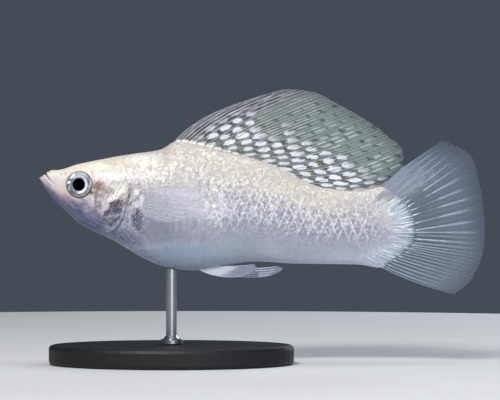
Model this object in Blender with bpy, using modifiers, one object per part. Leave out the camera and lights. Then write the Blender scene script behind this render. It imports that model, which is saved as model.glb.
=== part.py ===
"""A male sailfin molly at life size, held by a plain display stand.

Sizes are in millimetres. In the fish's own measures x runs back from the tip of the lower jaw,
z runs up from it and y runs to the fish's right. The whole model stands with +Z up, its origin
at the centre of the base's underside, and the fish faces -X with its head a little higher than its tail.
"""

import math

import bmesh
import bpy
from mathutils import Vector

MM = 0.001
GAP = 0.3

# The fish
FLESH_LENGTH = 77.1
JAW_TIP_HEIGHT = 38.0
RING_POINTS = 24
TRUNK_STEP = 1.8
BACK = (
    (0, 0), (0.7, 0.42), (1.57, 0.65), (1.85, 1.15), (2.7, 1.68), (3.7, 1.7), (7.9, 2.87), (16.5, 4.57),
    (25.6, 6.1), (26.6, 7.0), (27.9, 7.5), (31.5, 7.05), (40.9, 4.75), (46.7, 3.06), (55.1, -1.0),
    (58.5, -2.0), (65.2, -2.6), (69.6, -1.75), (72.0, -2.6), (74.5, -4.7), (76.5, -7.8), (77.1, -11.0),
)
BELLY = (
    (0, 0), (0.5, -1.15), (2.5, -3.85), (5.2, -6.6), (7.9, -9.1), (9.9, -10.4), (14.9, -12.7),
    (22.6, -17.1), (26.6, -18.4), (31.2, -18.95), (44.6, -17.15), (52.0, -17.55), (65.0, -17.75),
    (69.6, -18.4), (72.3, -16.9), (74.6, -15.0), (76.4, -13.3), (77.1, -11.0),
)
HALF_WIDTH = (
    (0, 0), (0.1, 0.75), (0.3, 1.25), (1.0, 2.1), (2.0, 2.75), (4.0, 3.5), (8.0, 4.65), (12.0, 5.4),
    (17.0, 6.1), (22.0, 6.5), (28.0, 6.6), (36.0, 6.1), (44.0, 5.15), (52.0, 4.05), (60.0, 3.05),
    (68.0, 2.0), (73.5, 1.2), (76.5, 0.6), (77.1, 0),
)
# Share of the depth, from the belly, at which the body is widest
WIDEST = ((0, 0.8), (2, 0.74), (8, 0.62), (18, 0.55), (30, 0.5), (77.1, 0.5))
# 2 is an oval section, and more is squarer
SQUARENESS = ((0, 2.6), (8, 2.5), (18, 2.25), (77.1, 2.1))

# The mouth and the other parts of the head
MOUTH_LINE = ((1.52, 0.75), (2.3, -0.35), (3.2, -1.35))
MOUTH_RISE = 4.0
JAW_REAR = ((3.9, -2.6), (4.2, -4.2), (4.3, -8.0))
LIP_SWELL = 0.26
LIP_OFFSET = 0.45
LIP_SPREAD = 0.3
NOSTRIL = (4.9, 0.85)
NOSTRIL_RADII = (0.28, 0.45, 0.67)
EYE_X = 8.5
EYE_Z = -1.4
EYE_RADIUS = 2.67
EYE_HALF_DEPTH = 2.05
EYE_STANDS_OUT = 0.6
GILL_COVER = (
    (13.4, -0.8), (16.0, -0.45), (17.8, -0.8), (18.6, -2.4), (18.1, -5.4), (17.1, -8.1), (15.4, -10.3),
    (13.6, -10.6), (12.3, -8.4), (11.9, -5.6), (12.2, -3.0),
)
GILL_COVER_DEPTH = 1.0
GILL_COVER_RAISED = 0.3
SHOULDER_LINE = (
    (16.6, 12.0), (16.6, 4.0), (17.0, -0.5), (17.3, -3.0), (16.6, -6.0), (15.4, -9.0), (13.9, -11.0),
    (12.4, -12.6), (11.5, -17.0),
)
TAIL_STEM_X = 53.0

# Rings of the body: close at the snout, even along it and close round the end of the tail stem
SNOUT_RINGS = (0.05, 0.3, 0.7, 1.1, 1.45, 1.7, 2.0, 2.5, 3.1, 3.8, 4.7, 5.8)
STEM_END = 7.4
STEM_END_RINGS = 8

# Room that the cutting shapes take up round the fish
CUT_HALF_WIDTH = 12.0
CUT_FRONT, CUT_REAR = -5.0, 99.0
CUT_TOP, CUT_BOTTOM = 15.0, -30.0

# Thickness of fins over the rays and between them, at the root and at the tip
RAY_ROOT, RAY_TIP = 0.95, 0.5
MEMBRANE_ROOT, MEMBRANE_TIP = 0.55, 0.36
PECTORAL_THINNER = 0.8
RAY_SHARE = 0.3
SCALLOP = 0.02
# How deep the roots start below the back, the belly and the end of the tail stem
ROOT_SINK = 0.9

DORSAL_RAYS = 19
DORSAL_ROOT = (26.7, 59.5)
DORSAL_TIPS = (
    (44.0, 16.3), (50.8, 18.1), (56.1, 17.5), (60.3, 15.5), (64.2, 13.4), (67.9, 11.2), (71.1, 8.7),
    (74.2, 5.9), (74.6, 2.4), (70.0, -1.9),
)
DORSAL_ANGLES = ((0, 58), (0.12, 46), (0.3, 30), (0.5, 16), (0.7, 4), (0.85, -4), (1, -2))
DORSAL_SHARES = ((0, 0.37), (0.3, 0.45), (1, 0.45))
DORSAL_LEAN = 2.6
CAUDAL_RAYS = 20
CAUDAL_START = 69.6
CAUDAL_TIPS = (
    (82.4, 7.7), (88.0, 4.6), (89.6, 0.0), (90.5, -5.0), (90.9, -9.5), (90.8, -13.5), (89.9, -17.1),
    (88.0, -20.8), (84.6, -23.7),
)
# Where the rays stand along the stem's end and along the tips, and how far they bow, in degrees
CAUDAL_SPREAD_ROOTS = ((0, 0), (0.2, 0.21), (0.37, 0.33), (0.53, 0.47), (0.63, 0.6), (1, 1))
CAUDAL_SPREAD = (
    (0, 0), (0.16, 0.06), (0.26, 0.135), (0.37, 0.275), (0.47, 0.39), (0.58, 0.55), (0.68, 0.69),
    (0.8, 0.81), (1, 1),
)
CAUDAL_BOW = ((0, 5), (0.15, 0), (0.8, 0), (1, -9))
CAUDAL_LEAN = 0.9
PECTORAL_RAYS = 12
PECTORAL_ROOT = ((19.9, -3.0), (20.4, -6.6))
PECTORAL_TIPS = (
    (26.9, -1.6), (30.1, -1.7), (32.6, -2.5), (33.8, -3.9), (33.8, -5.5), (32.6, -6.9), (30.5, -8.1),
    (28.1, -8.9), (25.7, -9.0),
)
PECTORAL_ANGLES = ((0, 22), (1, -36))
PECTORAL_SINK = 0.6
PECTORAL_FLARE = (1.7, 1.5)
PELVIC_RAYS = 6
PELVIC_ROOT = (31.8, 34.6)
PELVIC_TIPS = ((41.6, -20.0), (43.4, -19.4), (44.4, -18.4), (44.0, -17.6))
PELVIC_ANGLES = ((0, -36), (1, -8))
PELVIC_Y = (1.35, 1.75)
GONOPODIUM_RAYS = 5
GONOPODIUM_ROOT = (34.6, 37.4)
GONOPODIUM_TIPS = ((47.5, -19.8), (48.9, -19.2), (49.7, -18.5), (48.9, -18.0))
GONOPODIUM_ANGLES = ((0, -36), (1, -22))

# The stand
ROD_X = 27.0
ROD_RADIUS = 1.1
ROD_FOOT_RADIUS = 2.4
ROD_FOOT_HEIGHT = 1.0
ROD_FILLET = 0.5
# Height left on the rod before the belly is cut out of it
ROD_SPARE = 1.5
BASE_LENGTH = 50.0
BASE_WIDTH = 36.0
BASE_HEIGHT = 4.0
BASE_BEVEL = 0.8
BASE_SIDES = 48


def place(x, y, z):
    """The fish's own measures as a point of the model, in metres."""
    return Vector(((x - ROD_X) * MM, y * MM, (z + JAW_TIP_HEIGHT) * MM))


def slopes_of(points):
    """Slopes at the points of a curve that is smooth and never overshoots them."""
    steps = [(b[1] - a[1]) / (b[0] - a[0]) for a, b in zip(points, points[1:])]
    inner = [2 * a * b / (a + b) if a * b > 0 else 0 for a, b in zip(steps, steps[1:])]
    return [steps[0], *inner, steps[-1]]


def curve(points, at):
    """The value at one place of the smooth curve through (place, value) points."""
    at = min(max(at, points[0][0]), points[-1][0])
    slopes = slopes_of(points)
    for (x0, v0), (x1, v1), s0, s1 in zip(points, points[1:], slopes, slopes[1:]):
        if at <= x1:
            break
    width = x1 - x0
    t = (at - x0) / width
    rise = t * t * (3 - 2 * t)
    return v0 + (v1 - v0) * rise + width * ((t - 2 * t * t + t**3) * s0 + (t**3 - t * t) * s1)


def along(points, share):
    """The point at a share of the way, 0 to 1, along evenly timed points."""
    last = len(points) - 1
    return [curve([(i / last, p[k]) for i, p in enumerate(points)], share) for k in (0, 1)]


def closed_outline(points, steps=3):
    """A smooth closed outline through the points, for a plate's edge."""
    found = []
    count = len(points)
    for i in range(count):
        a, b, c, d = (Vector(points[(i + k) % count]) for k in (-1, 0, 1, 2))
        for step in range(steps):
            t = step / steps
            found.append(
                0.5 * (2 * b + (c - a) * t + (2 * a - 5 * b + 4 * c - d) * t * t + (3 * b - a - 3 * c + d) * t**3)
            )
    return found


def new_object(name, points, faces, collection):
    """An object from points and faces, its faces turned outwards."""
    mesh = bpy.data.meshes.new(name)
    mesh.from_pydata(points, [], faces)
    shape = bmesh.new()
    shape.from_mesh(mesh)
    bmesh.ops.recalc_face_normals(shape, faces=shape.faces)
    if shape.calc_volume(signed=True) < 0:
        bmesh.ops.reverse_faces(shape, faces=shape.faces)
    shape.to_mesh(mesh)
    shape.free()
    obj = bpy.data.objects.new(name, mesh)
    collection.objects.link(obj)
    return obj


def finish(obj, material):
    """Rounded shading and the part's own material."""
    obj.data.materials.clear()
    obj.data.materials.append(material)
    obj.data.shade_smooth()
    obj.data.set_sharp_from_angle(angle=math.radians(40))
    return obj


def cut(obj, cutter, operation="DIFFERENCE"):
    """A Boolean on the object, named after what cuts it."""
    modifier = obj.modifiers.new(cutter.name, "BOOLEAN")
    modifier.operation = operation
    modifier.solver = "EXACT"
    modifier.object = cutter


def copy_of(obj, name, collection):
    """A copy with its own mesh and no modifiers."""
    made = bpy.data.objects.new(name, obj.data.copy())
    collection.objects.link(made)
    return made


def make_material(name, colour, roughness, metallic=0.0, alpha=1.0):
    material = bpy.data.materials.new(name)
    material.use_nodes = True
    shader = material.node_tree.nodes["Principled BSDF"]
    shader.inputs["Base Color"].default_value = (*colour, 1)
    shader.inputs["Roughness"].default_value = roughness
    shader.inputs["Metallic"].default_value = metallic
    shader.inputs["Alpha"].default_value = alpha
    return material


def mouth_distance(x, z):
    """How far a point on the side of the head is from the line of the mouth."""
    point = Vector((x, z))
    best = math.inf
    for a, b in zip(MOUTH_LINE, MOUTH_LINE[1:]):
        a, b = Vector(a), Vector(b)
        share = min(max((point - a).dot(b - a) / (b - a).length_squared, 0), 1)
        best = min(best, (point - a - (b - a) * share).length)
    return best


def lip_swell(x, z):
    """The lips stand out along both sides of the mouth."""
    return LIP_SWELL * math.exp(-(((mouth_distance(x, z) - LIP_OFFSET) / LIP_SPREAD) ** 2))


def ring(x, grow):
    """Points round the body at one place, from the back down the left side and up the right."""
    top = curve(BACK, x) + grow
    bottom = curve(BELLY, x) - grow
    half = curve(HALF_WIDTH, x) + grow
    level = bottom + (top - bottom) * curve(WIDEST, x)
    power = 2 / curve(SQUARENESS, x)
    stretched = x + grow * (2 * x / FLESH_LENGTH - 1)
    points = []
    for k in range(RING_POINTS):
        angle = 2 * math.pi * k / RING_POINTS
        across, up = math.sin(angle), math.cos(angle)
        reach = top - level if up > 0 else level - bottom
        z = level + math.copysign(abs(up) ** power, up) * reach
        y = half * abs(across) ** power
        if abs(across) > 0.05:
            y += lip_swell(x, z)
        points.append(place(stretched, -math.copysign(y, across), z))
    return points


def stations(grow):
    """Places of the rings along the body."""
    start = SNOUT_RINGS[-1]
    end = FLESH_LENGTH - STEM_END
    count = round((end - start) / TRUNK_STEP)
    body = [start + (end - start) * (i + 1) / count for i in range(count)]
    turns = [math.pi / 2 * i / STEM_END_RINGS for i in range(1, STEM_END_RINGS)]
    tail = [FLESH_LENGTH - STEM_END * (1 - math.sin(turn)) for turn in turns]
    return [x for x in (*SNOUT_RINGS, *body, *tail) if curve(HALF_WIDTH, x) + grow > 0.1]


def make_flesh(name, collection, grow=0.0):
    """The whole body as one loft. With grow it is larger all round, or smaller where that is negative."""
    rings = [ring(x, grow) for x in stations(grow)]
    points = [p for r in rings for p in r]
    ends = [sum(r, Vector()) / RING_POINTS for r in (rings[0], rings[-1])]
    points += ends
    faces = []
    for i in range(len(rings) - 1):
        for k in range(RING_POINTS):
            a = i * RING_POINTS + k
            b = i * RING_POINTS + (k + 1) % RING_POINTS
            faces.append((a, b, b + RING_POINTS, a + RING_POINTS))
    last = (len(rings) - 1) * RING_POINTS
    for k in range(RING_POINTS):
        after = (k + 1) % RING_POINTS
        faces.append((k, after, len(points) - 2))
        faces.append((last + k, last + after, len(points) - 1))
    return new_object(name, points, faces, collection)


def make_prism(name, outline, collection, y_from=-CUT_HALF_WIDTH, y_to=CUT_HALF_WIDTH):
    """A side-view outline made solid from one y to another."""
    count = len(outline)
    points = [place(x, y, z) for y in (y_from, y_to) for x, z in outline]
    faces = [tuple(range(count)), tuple(range(count, 2 * count))]
    faces += [(i, (i + 1) % count, count + (i + 1) % count, count + i) for i in range(count)]
    return new_object(name, points, faces, collection)


def shifted(points, dx, dz):
    return [(x + dx, z + dz) for x, z in points]


def rear_block(x):
    """Side-view outline of all that lies behind one place."""
    return [(x, CUT_TOP), (CUT_REAR, CUT_TOP), (CUT_REAR, CUT_BOTTOM), (x, CUT_BOTTOM)]


def make_ellipsoid(name, centre, radii, collection, segments=20, rings=12):
    mesh = bpy.data.meshes.new(name)
    shape = bmesh.new()
    bmesh.ops.create_uvsphere(shape, u_segments=segments, v_segments=rings, radius=1)
    for vertex in shape.verts:
        # Turned so that the poles lie along y and the rings run round the pupil
        x, y, z = vertex.co
        vertex.co = place(centre[0] + x * radii[0], centre[1] - z * radii[1], centre[2] + y * radii[2])
    shape.to_mesh(mesh)
    shape.free()
    obj = bpy.data.objects.new(name, mesh)
    collection.objects.link(obj)
    return obj


def half_width_at(x, z):
    """How far the flesh reaches sideways at one place and height."""
    top, bottom = curve(BACK, x), curve(BELLY, x)
    level = bottom + (top - bottom) * curve(WIDEST, x)
    reach = top - level if z > level else level - bottom
    power = curve(SQUARENESS, x)
    return curve(HALF_WIDTH, x) * max(0, 1 - abs((z - level) / reach) ** power) ** (1 / power)


def make_fin(name, ray_count, rows, surface, collection, thinner=1.0):
    """A membrane with its rays raised on both faces.

    surface(u, v) is the middle of the fin, with u across the rays and v from root to tip. Both faces
    are split into triangles the same way.
    """
    reach = RAY_SHARE / (ray_count - 1)
    columns = []
    for i in range(ray_count):
        at = i / (ray_count - 1)
        columns += [(at + d, d == 0) for d in (-reach, 0, reach) if -1e-9 <= at + d <= 1 + 1e-9]
    front, back = [], []
    small = 1e-3
    for u, on_ray in columns:
        for j in range(rows + 1):
            v = j / rows
            end = v * (1 if on_ray else 1 - SCALLOP)
            root, tip = (RAY_ROOT, RAY_TIP) if on_ray else (MEMBRANE_ROOT, MEMBRANE_TIP)
            half = thinner * (root + (tip - root) * v) / 2
            middle = surface(u, end)
            across = surface(min(u + small, 1), end) - surface(max(u - small, 0), end)
            outwards = surface(u, min(end + small, 1)) - surface(u, max(end - small, 0))
            normal = across.cross(outwards).normalized()
            front.append(place(*(middle + normal * half)))
            back.append(place(*(middle - normal * half)))
    height = rows + 1
    shift = len(front)
    faces = []
    for i in range(len(columns) - 1):
        for j in range(rows):
            a, b = i * height + j, (i + 1) * height + j
            faces += [(a, b, b + 1), (a, b + 1, a + 1)]
            faces += [(a + shift, b + 1 + shift, b + shift), (a + shift, a + 1 + shift, b + 1 + shift)]
    edge = list(range(height))
    edge += [i * height + rows for i in range(1, len(columns))]
    edge += [(len(columns) - 1) * height + j for j in range(rows - 1, -1, -1)]
    edge += [i * height for i in range(len(columns) - 2, 0, -1)]
    for a, b in zip(edge, edge[1:] + edge[:1]):
        faces += [(a, b, b + shift), (a, b + shift, a + shift)]
    return new_object(name, front + back, faces, collection)


def swept(root, angle, tip, v, share=0.45):
    """A point of a ray that leaves its root at an angle, in degrees, and bends to its tip."""
    length = math.dist(root, tip) * share
    knee = (root[0] + length * math.cos(math.radians(angle)), root[1] + length * math.sin(math.radians(angle)))
    weights = ((1 - v) ** 2, 2 * v * (1 - v), v * v)
    return [sum(w * p[k] for w, p in zip(weights, (root, knee, tip))) for k in (0, 1)]


def between(ends, share):
    return ends[0] + (ends[1] - ends[0]) * share


def belly_root(span, share):
    """A point just inside the belly, at a share of the way along a stretch of it."""
    x = between(span, share)
    return x, curve(BELLY, x) + ROOT_SINK


def dorsal_surface(u, v):
    """The sail. Rays stand closer at the front, and its rear leans to the right, clear of the tail fin."""
    x = between(DORSAL_ROOT, 0.8 * u + 0.2 * u * u)
    root = (x, curve(BACK, x) - ROOT_SINK)
    x, z = swept(root, curve(DORSAL_ANGLES, u), along(DORSAL_TIPS, u), v, curve(DORSAL_SHARES, u))
    lean = DORSAL_LEAN * u**1.5 * v**1.3
    return Vector((x, lean, z))


def caudal_surface(u, v):
    """The fan. Its roots follow the rounded end of the tail stem, just inside it, and its rays are straight."""
    share = curve(CAUDAL_SPREAD_ROOTS, u)
    reach = math.sin(math.pi * share)
    x = between((CAUDAL_START, FLESH_LENGTH), reach)
    inset = ROOT_SINK * (1 - reach)
    root = (x - ROOT_SINK, curve(BACK, x) - inset if share < 0.5 else curve(BELLY, x) + inset)
    tip = along(CAUDAL_TIPS, curve(CAUDAL_SPREAD, u))
    angle = math.degrees(math.atan2(tip[1] - root[1], tip[0] - root[0])) + curve(CAUDAL_BOW, u)
    x, z = swept(root, angle, tip, v)
    lean = CAUDAL_LEAN * (math.sin(math.pi * (u + 0.2)) - 1.25) * v**1.4
    return Vector((x, lean, z))


def pectoral_surface(side):
    def surface(u, v):
        root = along(PECTORAL_ROOT, u)
        x, z = swept(root, curve(PECTORAL_ANGLES, u), along(PECTORAL_TIPS, u), v)
        near, far = PECTORAL_FLARE
        y = half_width_at(*root) - PECTORAL_SINK + near * v * (2 - v) + far * v
        return Vector((x, side * y, z))

    return surface


def pelvic_surface(side):
    def surface(u, v):
        x, z = swept(belly_root(PELVIC_ROOT, u), curve(PELVIC_ANGLES, u), along(PELVIC_TIPS, u), v)
        return Vector((x, side * between(PELVIC_Y, v), z))

    return surface


def gonopodium_surface(u, v):
    """The male's rod-like anal fin."""
    root = belly_root(GONOPODIUM_ROOT, u)
    x, z = swept(root, curve(GONOPODIUM_ANGLES, u), along(GONOPODIUM_TIPS, u), v)
    return Vector((x, 0, z))


def make_fins(parts, clearance, material):
    """Each fin ends a gap short of the flesh that it grows from."""
    fins = [
        make_fin("dorsal_fin", DORSAL_RAYS, 9, dorsal_surface, parts),
        make_fin("caudal_fin", CAUDAL_RAYS, 6, caudal_surface, parts),
        make_fin("gonopodium", GONOPODIUM_RAYS, 9, gonopodium_surface, parts),
    ]
    for side_name, side in (("left", -1), ("right", 1)):
        pectoral = f"pectoral_fin_{side_name}"
        fins.append(make_fin(pectoral, PECTORAL_RAYS, 6, pectoral_surface(side), parts, PECTORAL_THINNER))
        fins.append(make_fin(f"pelvic_fin_{side_name}", PELVIC_RAYS, 7, pelvic_surface(side), parts))
    for fin in fins:
        cut(fin, clearance)
        finish(fin, material)


def make_body(parts, cutters, materials):
    """Head, lower jaw, gill covers, trunk and tail stem, parted by thin cuts, and the eyes in their sockets."""
    flesh = make_flesh("flesh", cutters)
    raised = make_flesh("raised_flesh", cutters, GILL_COVER_RAISED)
    core = make_flesh("core", cutters, -GILL_COVER_DEPTH)
    deep_core = make_flesh("deep_core", cutters, -GILL_COVER_DEPTH - GAP)
    front = [(CUT_FRONT, SHOULDER_LINE[0][1]), *SHOULDER_LINE, (CUT_FRONT, SHOULDER_LINE[-1][1])]
    head_region = make_prism("head_region", front, cutters)
    trunk_start = make_prism("trunk_start", shifted(front, GAP, 0), cutters)
    trunk_end = make_prism("trunk_end", rear_block(TAIL_STEM_X - GAP / 2), cutters)
    stem_region = make_prism("stem_region", rear_block(TAIL_STEM_X + GAP / 2), cutters)
    jaw = [(CUT_FRONT, MOUTH_RISE), (MOUTH_LINE[0][0] - 0.2, MOUTH_RISE), *MOUTH_LINE]
    jaw += [*JAW_REAR, (CUT_FRONT, JAW_REAR[-1][1])]
    jaw_region = make_prism("jaw_region", jaw, cutters)
    wider = CUT_HALF_WIDTH + 0.5
    jaw_space = make_prism("jaw_space", shifted(jaw, GAP, GAP / 2), cutters, -wider, wider)

    head = copy_of(flesh, "head", parts)
    cut(head, head_region, "INTERSECT")
    cut(head, jaw_space)
    lower_jaw = copy_of(flesh, "lower_jaw", parts)
    cut(lower_jaw, jaw_region, "INTERSECT")
    trunk = copy_of(flesh, "trunk", parts)
    cut(trunk, trunk_start)
    cut(trunk, trunk_end)
    tail_stem = copy_of(flesh, "tail_stem", parts)
    cut(tail_stem, stem_region, "INTERSECT")

    outline = closed_outline(GILL_COVER)
    centre = sum(outline, Vector((0, 0))) / len(outline)
    pocket_outline = [p + (p - centre).normalized() * GAP for p in outline]
    for side_name, side in (("left", -1), ("right", 1)):
        far = side * CUT_HALF_WIDTH
        cover_region = make_prism(f"cover_region_{side_name}", outline, cutters, side * 0.5, far)
        cover = copy_of(raised, f"gill_cover_{side_name}", parts)
        cut(cover, cover_region, "INTERSECT")
        cut(cover, core)
        finish(cover, materials["flesh"])
        pocket = make_prism(f"gill_pocket_{side_name}", pocket_outline, cutters, side * 0.4, far)
        cut(pocket, deep_core)
        cut(head, pocket)
        cut(trunk, pocket)

        eye_y = side * (half_width_at(EYE_X, EYE_Z) + EYE_STANDS_OUT - EYE_HALF_DEPTH)
        eye = make_ellipsoid(
            f"eye_{side_name}", (EYE_X, eye_y, EYE_Z), (EYE_RADIUS, EYE_HALF_DEPTH, EYE_RADIUS), parts
        )
        finish(eye, materials["eye"])
        socket = make_ellipsoid(
            f"socket_{side_name}",
            (EYE_X, eye_y, EYE_Z),
            (EYE_RADIUS + GAP, EYE_HALF_DEPTH + GAP, EYE_RADIUS + GAP),
            cutters,
        )
        cut(head, socket)
        nostril_x, nostril_z = NOSTRIL
        nostril = make_ellipsoid(
            f"nostril_{side_name}",
            (nostril_x, side * half_width_at(*NOSTRIL), nostril_z),
            NOSTRIL_RADII,
            cutters,
            segments=8,
            rings=6,
        )
        cut(head, nostril)
    for part in (head, lower_jaw, trunk, tail_stem):
        finish(part, materials["flesh"])


def make_base(parts, material):
    mesh = bpy.data.meshes.new("stand_base")
    shape = bmesh.new()
    bmesh.ops.create_cone(
        shape, cap_ends=True, segments=BASE_SIDES, radius1=0.5, radius2=0.5, depth=BASE_HEIGHT * MM
    )
    for vertex in shape.verts:
        vertex.co.x *= BASE_LENGTH * MM
        vertex.co.y *= BASE_WIDTH * MM
        vertex.co.z += BASE_HEIGHT * MM / 2
    shape.to_mesh(mesh)
    shape.free()
    base = bpy.data.objects.new("stand_base", mesh)
    parts.objects.link(base)
    bevel = base.modifiers.new("edge", "BEVEL")
    bevel.width = BASE_BEVEL * MM
    bevel.segments = 2
    bevel.limit_method = "ANGLE"
    bevel.angle_limit = math.radians(50)
    finish(base, material)


def make_rod(parts, clearance, material):
    """A turned rod with a foot, its top shaped to the belly that it carries."""
    top = curve(BELLY, ROD_X) + JAW_TIP_HEIGHT + ROD_SPARE
    foot = BASE_HEIGHT + GAP
    foot_top = foot + ROD_FOOT_HEIGHT
    profile = (
        (0.0, top),
        (ROD_RADIUS, top),
        (ROD_RADIUS, foot_top + 1.2 * ROD_FILLET),
        (ROD_RADIUS + ROD_FILLET, foot_top),
        (ROD_FOOT_RADIUS, foot_top - 0.6 * ROD_FILLET),
        (ROD_FOOT_RADIUS, foot),
        (0.0, foot),
    )
    mesh = bpy.data.meshes.new("stand_rod")
    points = [(r * MM, 0, z * MM) for r, z in profile]
    mesh.from_pydata(points, [(i, i + 1) for i in range(len(points) - 1)], [])
    rod = bpy.data.objects.new("stand_rod", mesh)
    parts.objects.link(rod)
    screw = rod.modifiers.new("turn", "SCREW")
    screw.steps = screw.render_steps = 20
    screw.use_merge_vertices = True
    screw.merge_threshold = 1e-5
    cut(rod, clearance)
    finish(rod, material)


def clear_scene():
    for obj in list(bpy.data.objects):
        bpy.data.objects.remove(obj)


def new_collection(name):
    made = bpy.data.collections.new(name)
    bpy.context.scene.collection.children.link(made)
    return made


def main():
    clear_scene()
    parts = new_collection("sailfin_molly")
    cutters = new_collection("cutters")
    materials = {
        "flesh": make_material("pearl_skin", (0.78, 0.76, 0.74), 0.35),
        "fin": make_material("fin_membrane", (0.62, 0.66, 0.66), 0.4, alpha=0.6),
        "eye": make_material("silver_eye", (0.55, 0.57, 0.6), 0.15, metallic=0.4),
        "base": make_material("black_base", (0.03, 0.03, 0.035), 0.4),
        "rod": make_material("steel_rod", (0.6, 0.6, 0.62), 0.25, metallic=1.0),
    }
    clearance = make_flesh("clearance", cutters, GAP)
    make_body(parts, cutters, materials)
    make_fins(parts, clearance, materials["fin"])
    make_base(parts, materials["base"])
    make_rod(parts, clearance, materials["rod"])
    for cutter in cutters.objects:
        cutter.hide_render = True
        cutter.display_type = "WIRE"


main()
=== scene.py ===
"""The looks of a life-size male sailfin molly on a display stand.

Sizes are millimetres in the fish's own measures, the same as in its solids: x runs back from the tip
of the lower jaw, y to the fish's right and z up from that tip.
"""

import math

import bmesh
import bpy
import numpy as np
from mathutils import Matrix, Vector


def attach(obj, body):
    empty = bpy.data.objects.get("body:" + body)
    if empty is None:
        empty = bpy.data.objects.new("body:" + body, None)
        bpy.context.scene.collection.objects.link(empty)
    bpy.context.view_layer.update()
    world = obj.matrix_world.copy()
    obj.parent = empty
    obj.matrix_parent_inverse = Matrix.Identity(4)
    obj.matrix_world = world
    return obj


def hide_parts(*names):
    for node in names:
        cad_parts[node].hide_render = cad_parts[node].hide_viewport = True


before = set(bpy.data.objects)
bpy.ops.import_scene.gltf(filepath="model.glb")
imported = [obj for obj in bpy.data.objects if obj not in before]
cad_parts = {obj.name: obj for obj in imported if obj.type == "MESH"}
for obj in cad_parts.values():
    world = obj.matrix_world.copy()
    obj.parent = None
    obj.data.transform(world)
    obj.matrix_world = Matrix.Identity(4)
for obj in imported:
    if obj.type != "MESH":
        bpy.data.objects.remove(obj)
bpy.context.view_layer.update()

MM = 0.001

# The body, as its solids have it
FLESH_LENGTH = 77.1
JAW_TIP_HEIGHT = 38.0
ROD_X = 27.0
BACK = (
    (0, 0), (0.7, 0.42), (1.57, 0.65), (1.85, 1.15), (2.7, 1.68), (3.7, 1.7), (7.9, 2.87), (16.5, 4.57),
    (25.6, 6.1), (26.6, 7.0), (27.9, 7.5), (31.5, 7.05), (40.9, 4.75), (46.7, 3.06), (55.1, -1.0),
    (58.5, -2.0), (65.2, -2.6), (69.6, -1.75), (72.0, -2.6), (74.5, -4.7), (76.5, -7.8), (77.1, -11.0),
)
BELLY = (
    (0, 0), (0.5, -1.15), (2.5, -3.85), (5.2, -6.6), (7.9, -9.1), (9.9, -10.4), (14.9, -12.7),
    (22.6, -17.1), (26.6, -18.4), (31.2, -18.95), (44.6, -17.15), (52.0, -17.55), (65.0, -17.75),
    (69.6, -18.4), (72.3, -16.9), (74.6, -15.0), (76.4, -13.3), (77.1, -11.0),
)
HALF_WIDTH = (
    (0, 0), (0.1, 0.75), (0.3, 1.25), (1.0, 2.1), (2.0, 2.75), (4.0, 3.5), (8.0, 4.65), (12.0, 5.4),
    (17.0, 6.1), (22.0, 6.5), (28.0, 6.6), (36.0, 6.1), (44.0, 5.15), (52.0, 4.05), (60.0, 3.05),
    (68.0, 2.0), (73.5, 1.2), (76.5, 0.6), (77.1, 0),
)
WIDEST = ((0, 0.8), (2, 0.74), (8, 0.62), (18, 0.55), (30, 0.5), (77.1, 0.5))
SQUARENESS = ((0, 2.6), (8, 2.5), (18, 2.25), (77.1, 2.1))
STEM_END, STEM_LEVEL = 7.4, -11.0
RING_POINTS = 208
# Spans of the skin's rings: from, to, step. Then rings that close in on the stem's round end
RING_SPANS = ((0.03, 4.0, 0.075), (4.0, 20.5, 0.13), (20.5, FLESH_LENGTH - STEM_END, 0.32))
END_RINGS = 41
SKIN_DEPTH = 0.1

# The head's relief
MOUTH_LINE = ((1.5, 0.75), (1.9, 0.2), (2.5, -0.6), (3.3, -1.3))
MOUTH_DEPTH, MOUTH_WIDTH = 0.42, 0.13
LIP_SWELL, LIP_OFFSET, LIP_SPREAD = 0.24, 0.42, 0.26
NOSTRILS = ((4.7, 0.75, 0.2), (5.55, 0.95, 0.26))
NOSTRIL_DEPTH, NOSTRIL_RIM = 0.28, 0.07
EYE_X, EYE_Z, EYE_RADIUS, EYE_BULGE, EYE_SINK = 8.5, -1.4, 2.67, 0.95, 0.3
SOCKET_DEPTH, SOCKET_RIM = 1.5, 0.12
GILL_EDGE = (
    (16.5, -0.3), (17.8, -0.7), (18.7, -1.5), (19.0, -2.5), (18.5, -4.1), (18.0, -6.3), (17.0, -8.7),
    (15.9, -10.2), (14.2, -11.3), (12.1, -11.6),
)
GILL_RISE, GILL_REACH, GILL_GAP = 0.36, 3.4, 0.12
CHEEK_EDGE = ((11.6, -3.6), (11.7, -6.2), (12.6, -8.2), (14.5, -9.1))
CHEEK_RIM = ((12.2, -4.2), (12.2, -6.0), (13.0, -7.4))
JAW_GROOVES = (
    ((5.9, -5.6), (7.9, -7.6), (10.3, -9.0), (12.7, -9.9)),
    ((7.1, -7.4), (8.9, -8.9), (11.3, -10.2), (13.5, -10.9)),
)
NAPE_SEAM = ((10.5, 2.2), (11.2, 0.6), (11.4, -0.4))
# Folds and furrows: line, height above the skin, width
FOLDS = (
    (CHEEK_EDGE, -0.16, 0.2),
    (CHEEK_RIM, 0.12, 0.28),
    (NAPE_SEAM, -0.06, 0.16),
    *((groove, -0.13, 0.2) for groove in JAW_GROOVES),
)

# Inside the eye. Profiles are (distance from its middle, depth below the skin or the iris's rim)
PUPIL_X, PUPIL_Z = 8.4, -1.4
PUPIL_RADIUS, PUPIL_DEPTH, PUPIL_BULGE = 1.28, 0.42, 0.5
IRIS_RIM, IRIS_DEPTH = 2.0, 0.04
EYE_SEGMENTS = 72
BALL_BACK = ((0.06, 1.6), (1.8, 1.4), (2.5, 1.0), (EYE_RADIUS, EYE_SINK))
IRIS_WELL = (
    (2.02, 0.06), (1.94, 0.1), (1.86, 0.06), (1.7, 0.02), (1.5, 0.06), (1.36, 0.14), (1.27, 0.26), (1.22, 0.4),
    (0.06, 0.45),
)

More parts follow.
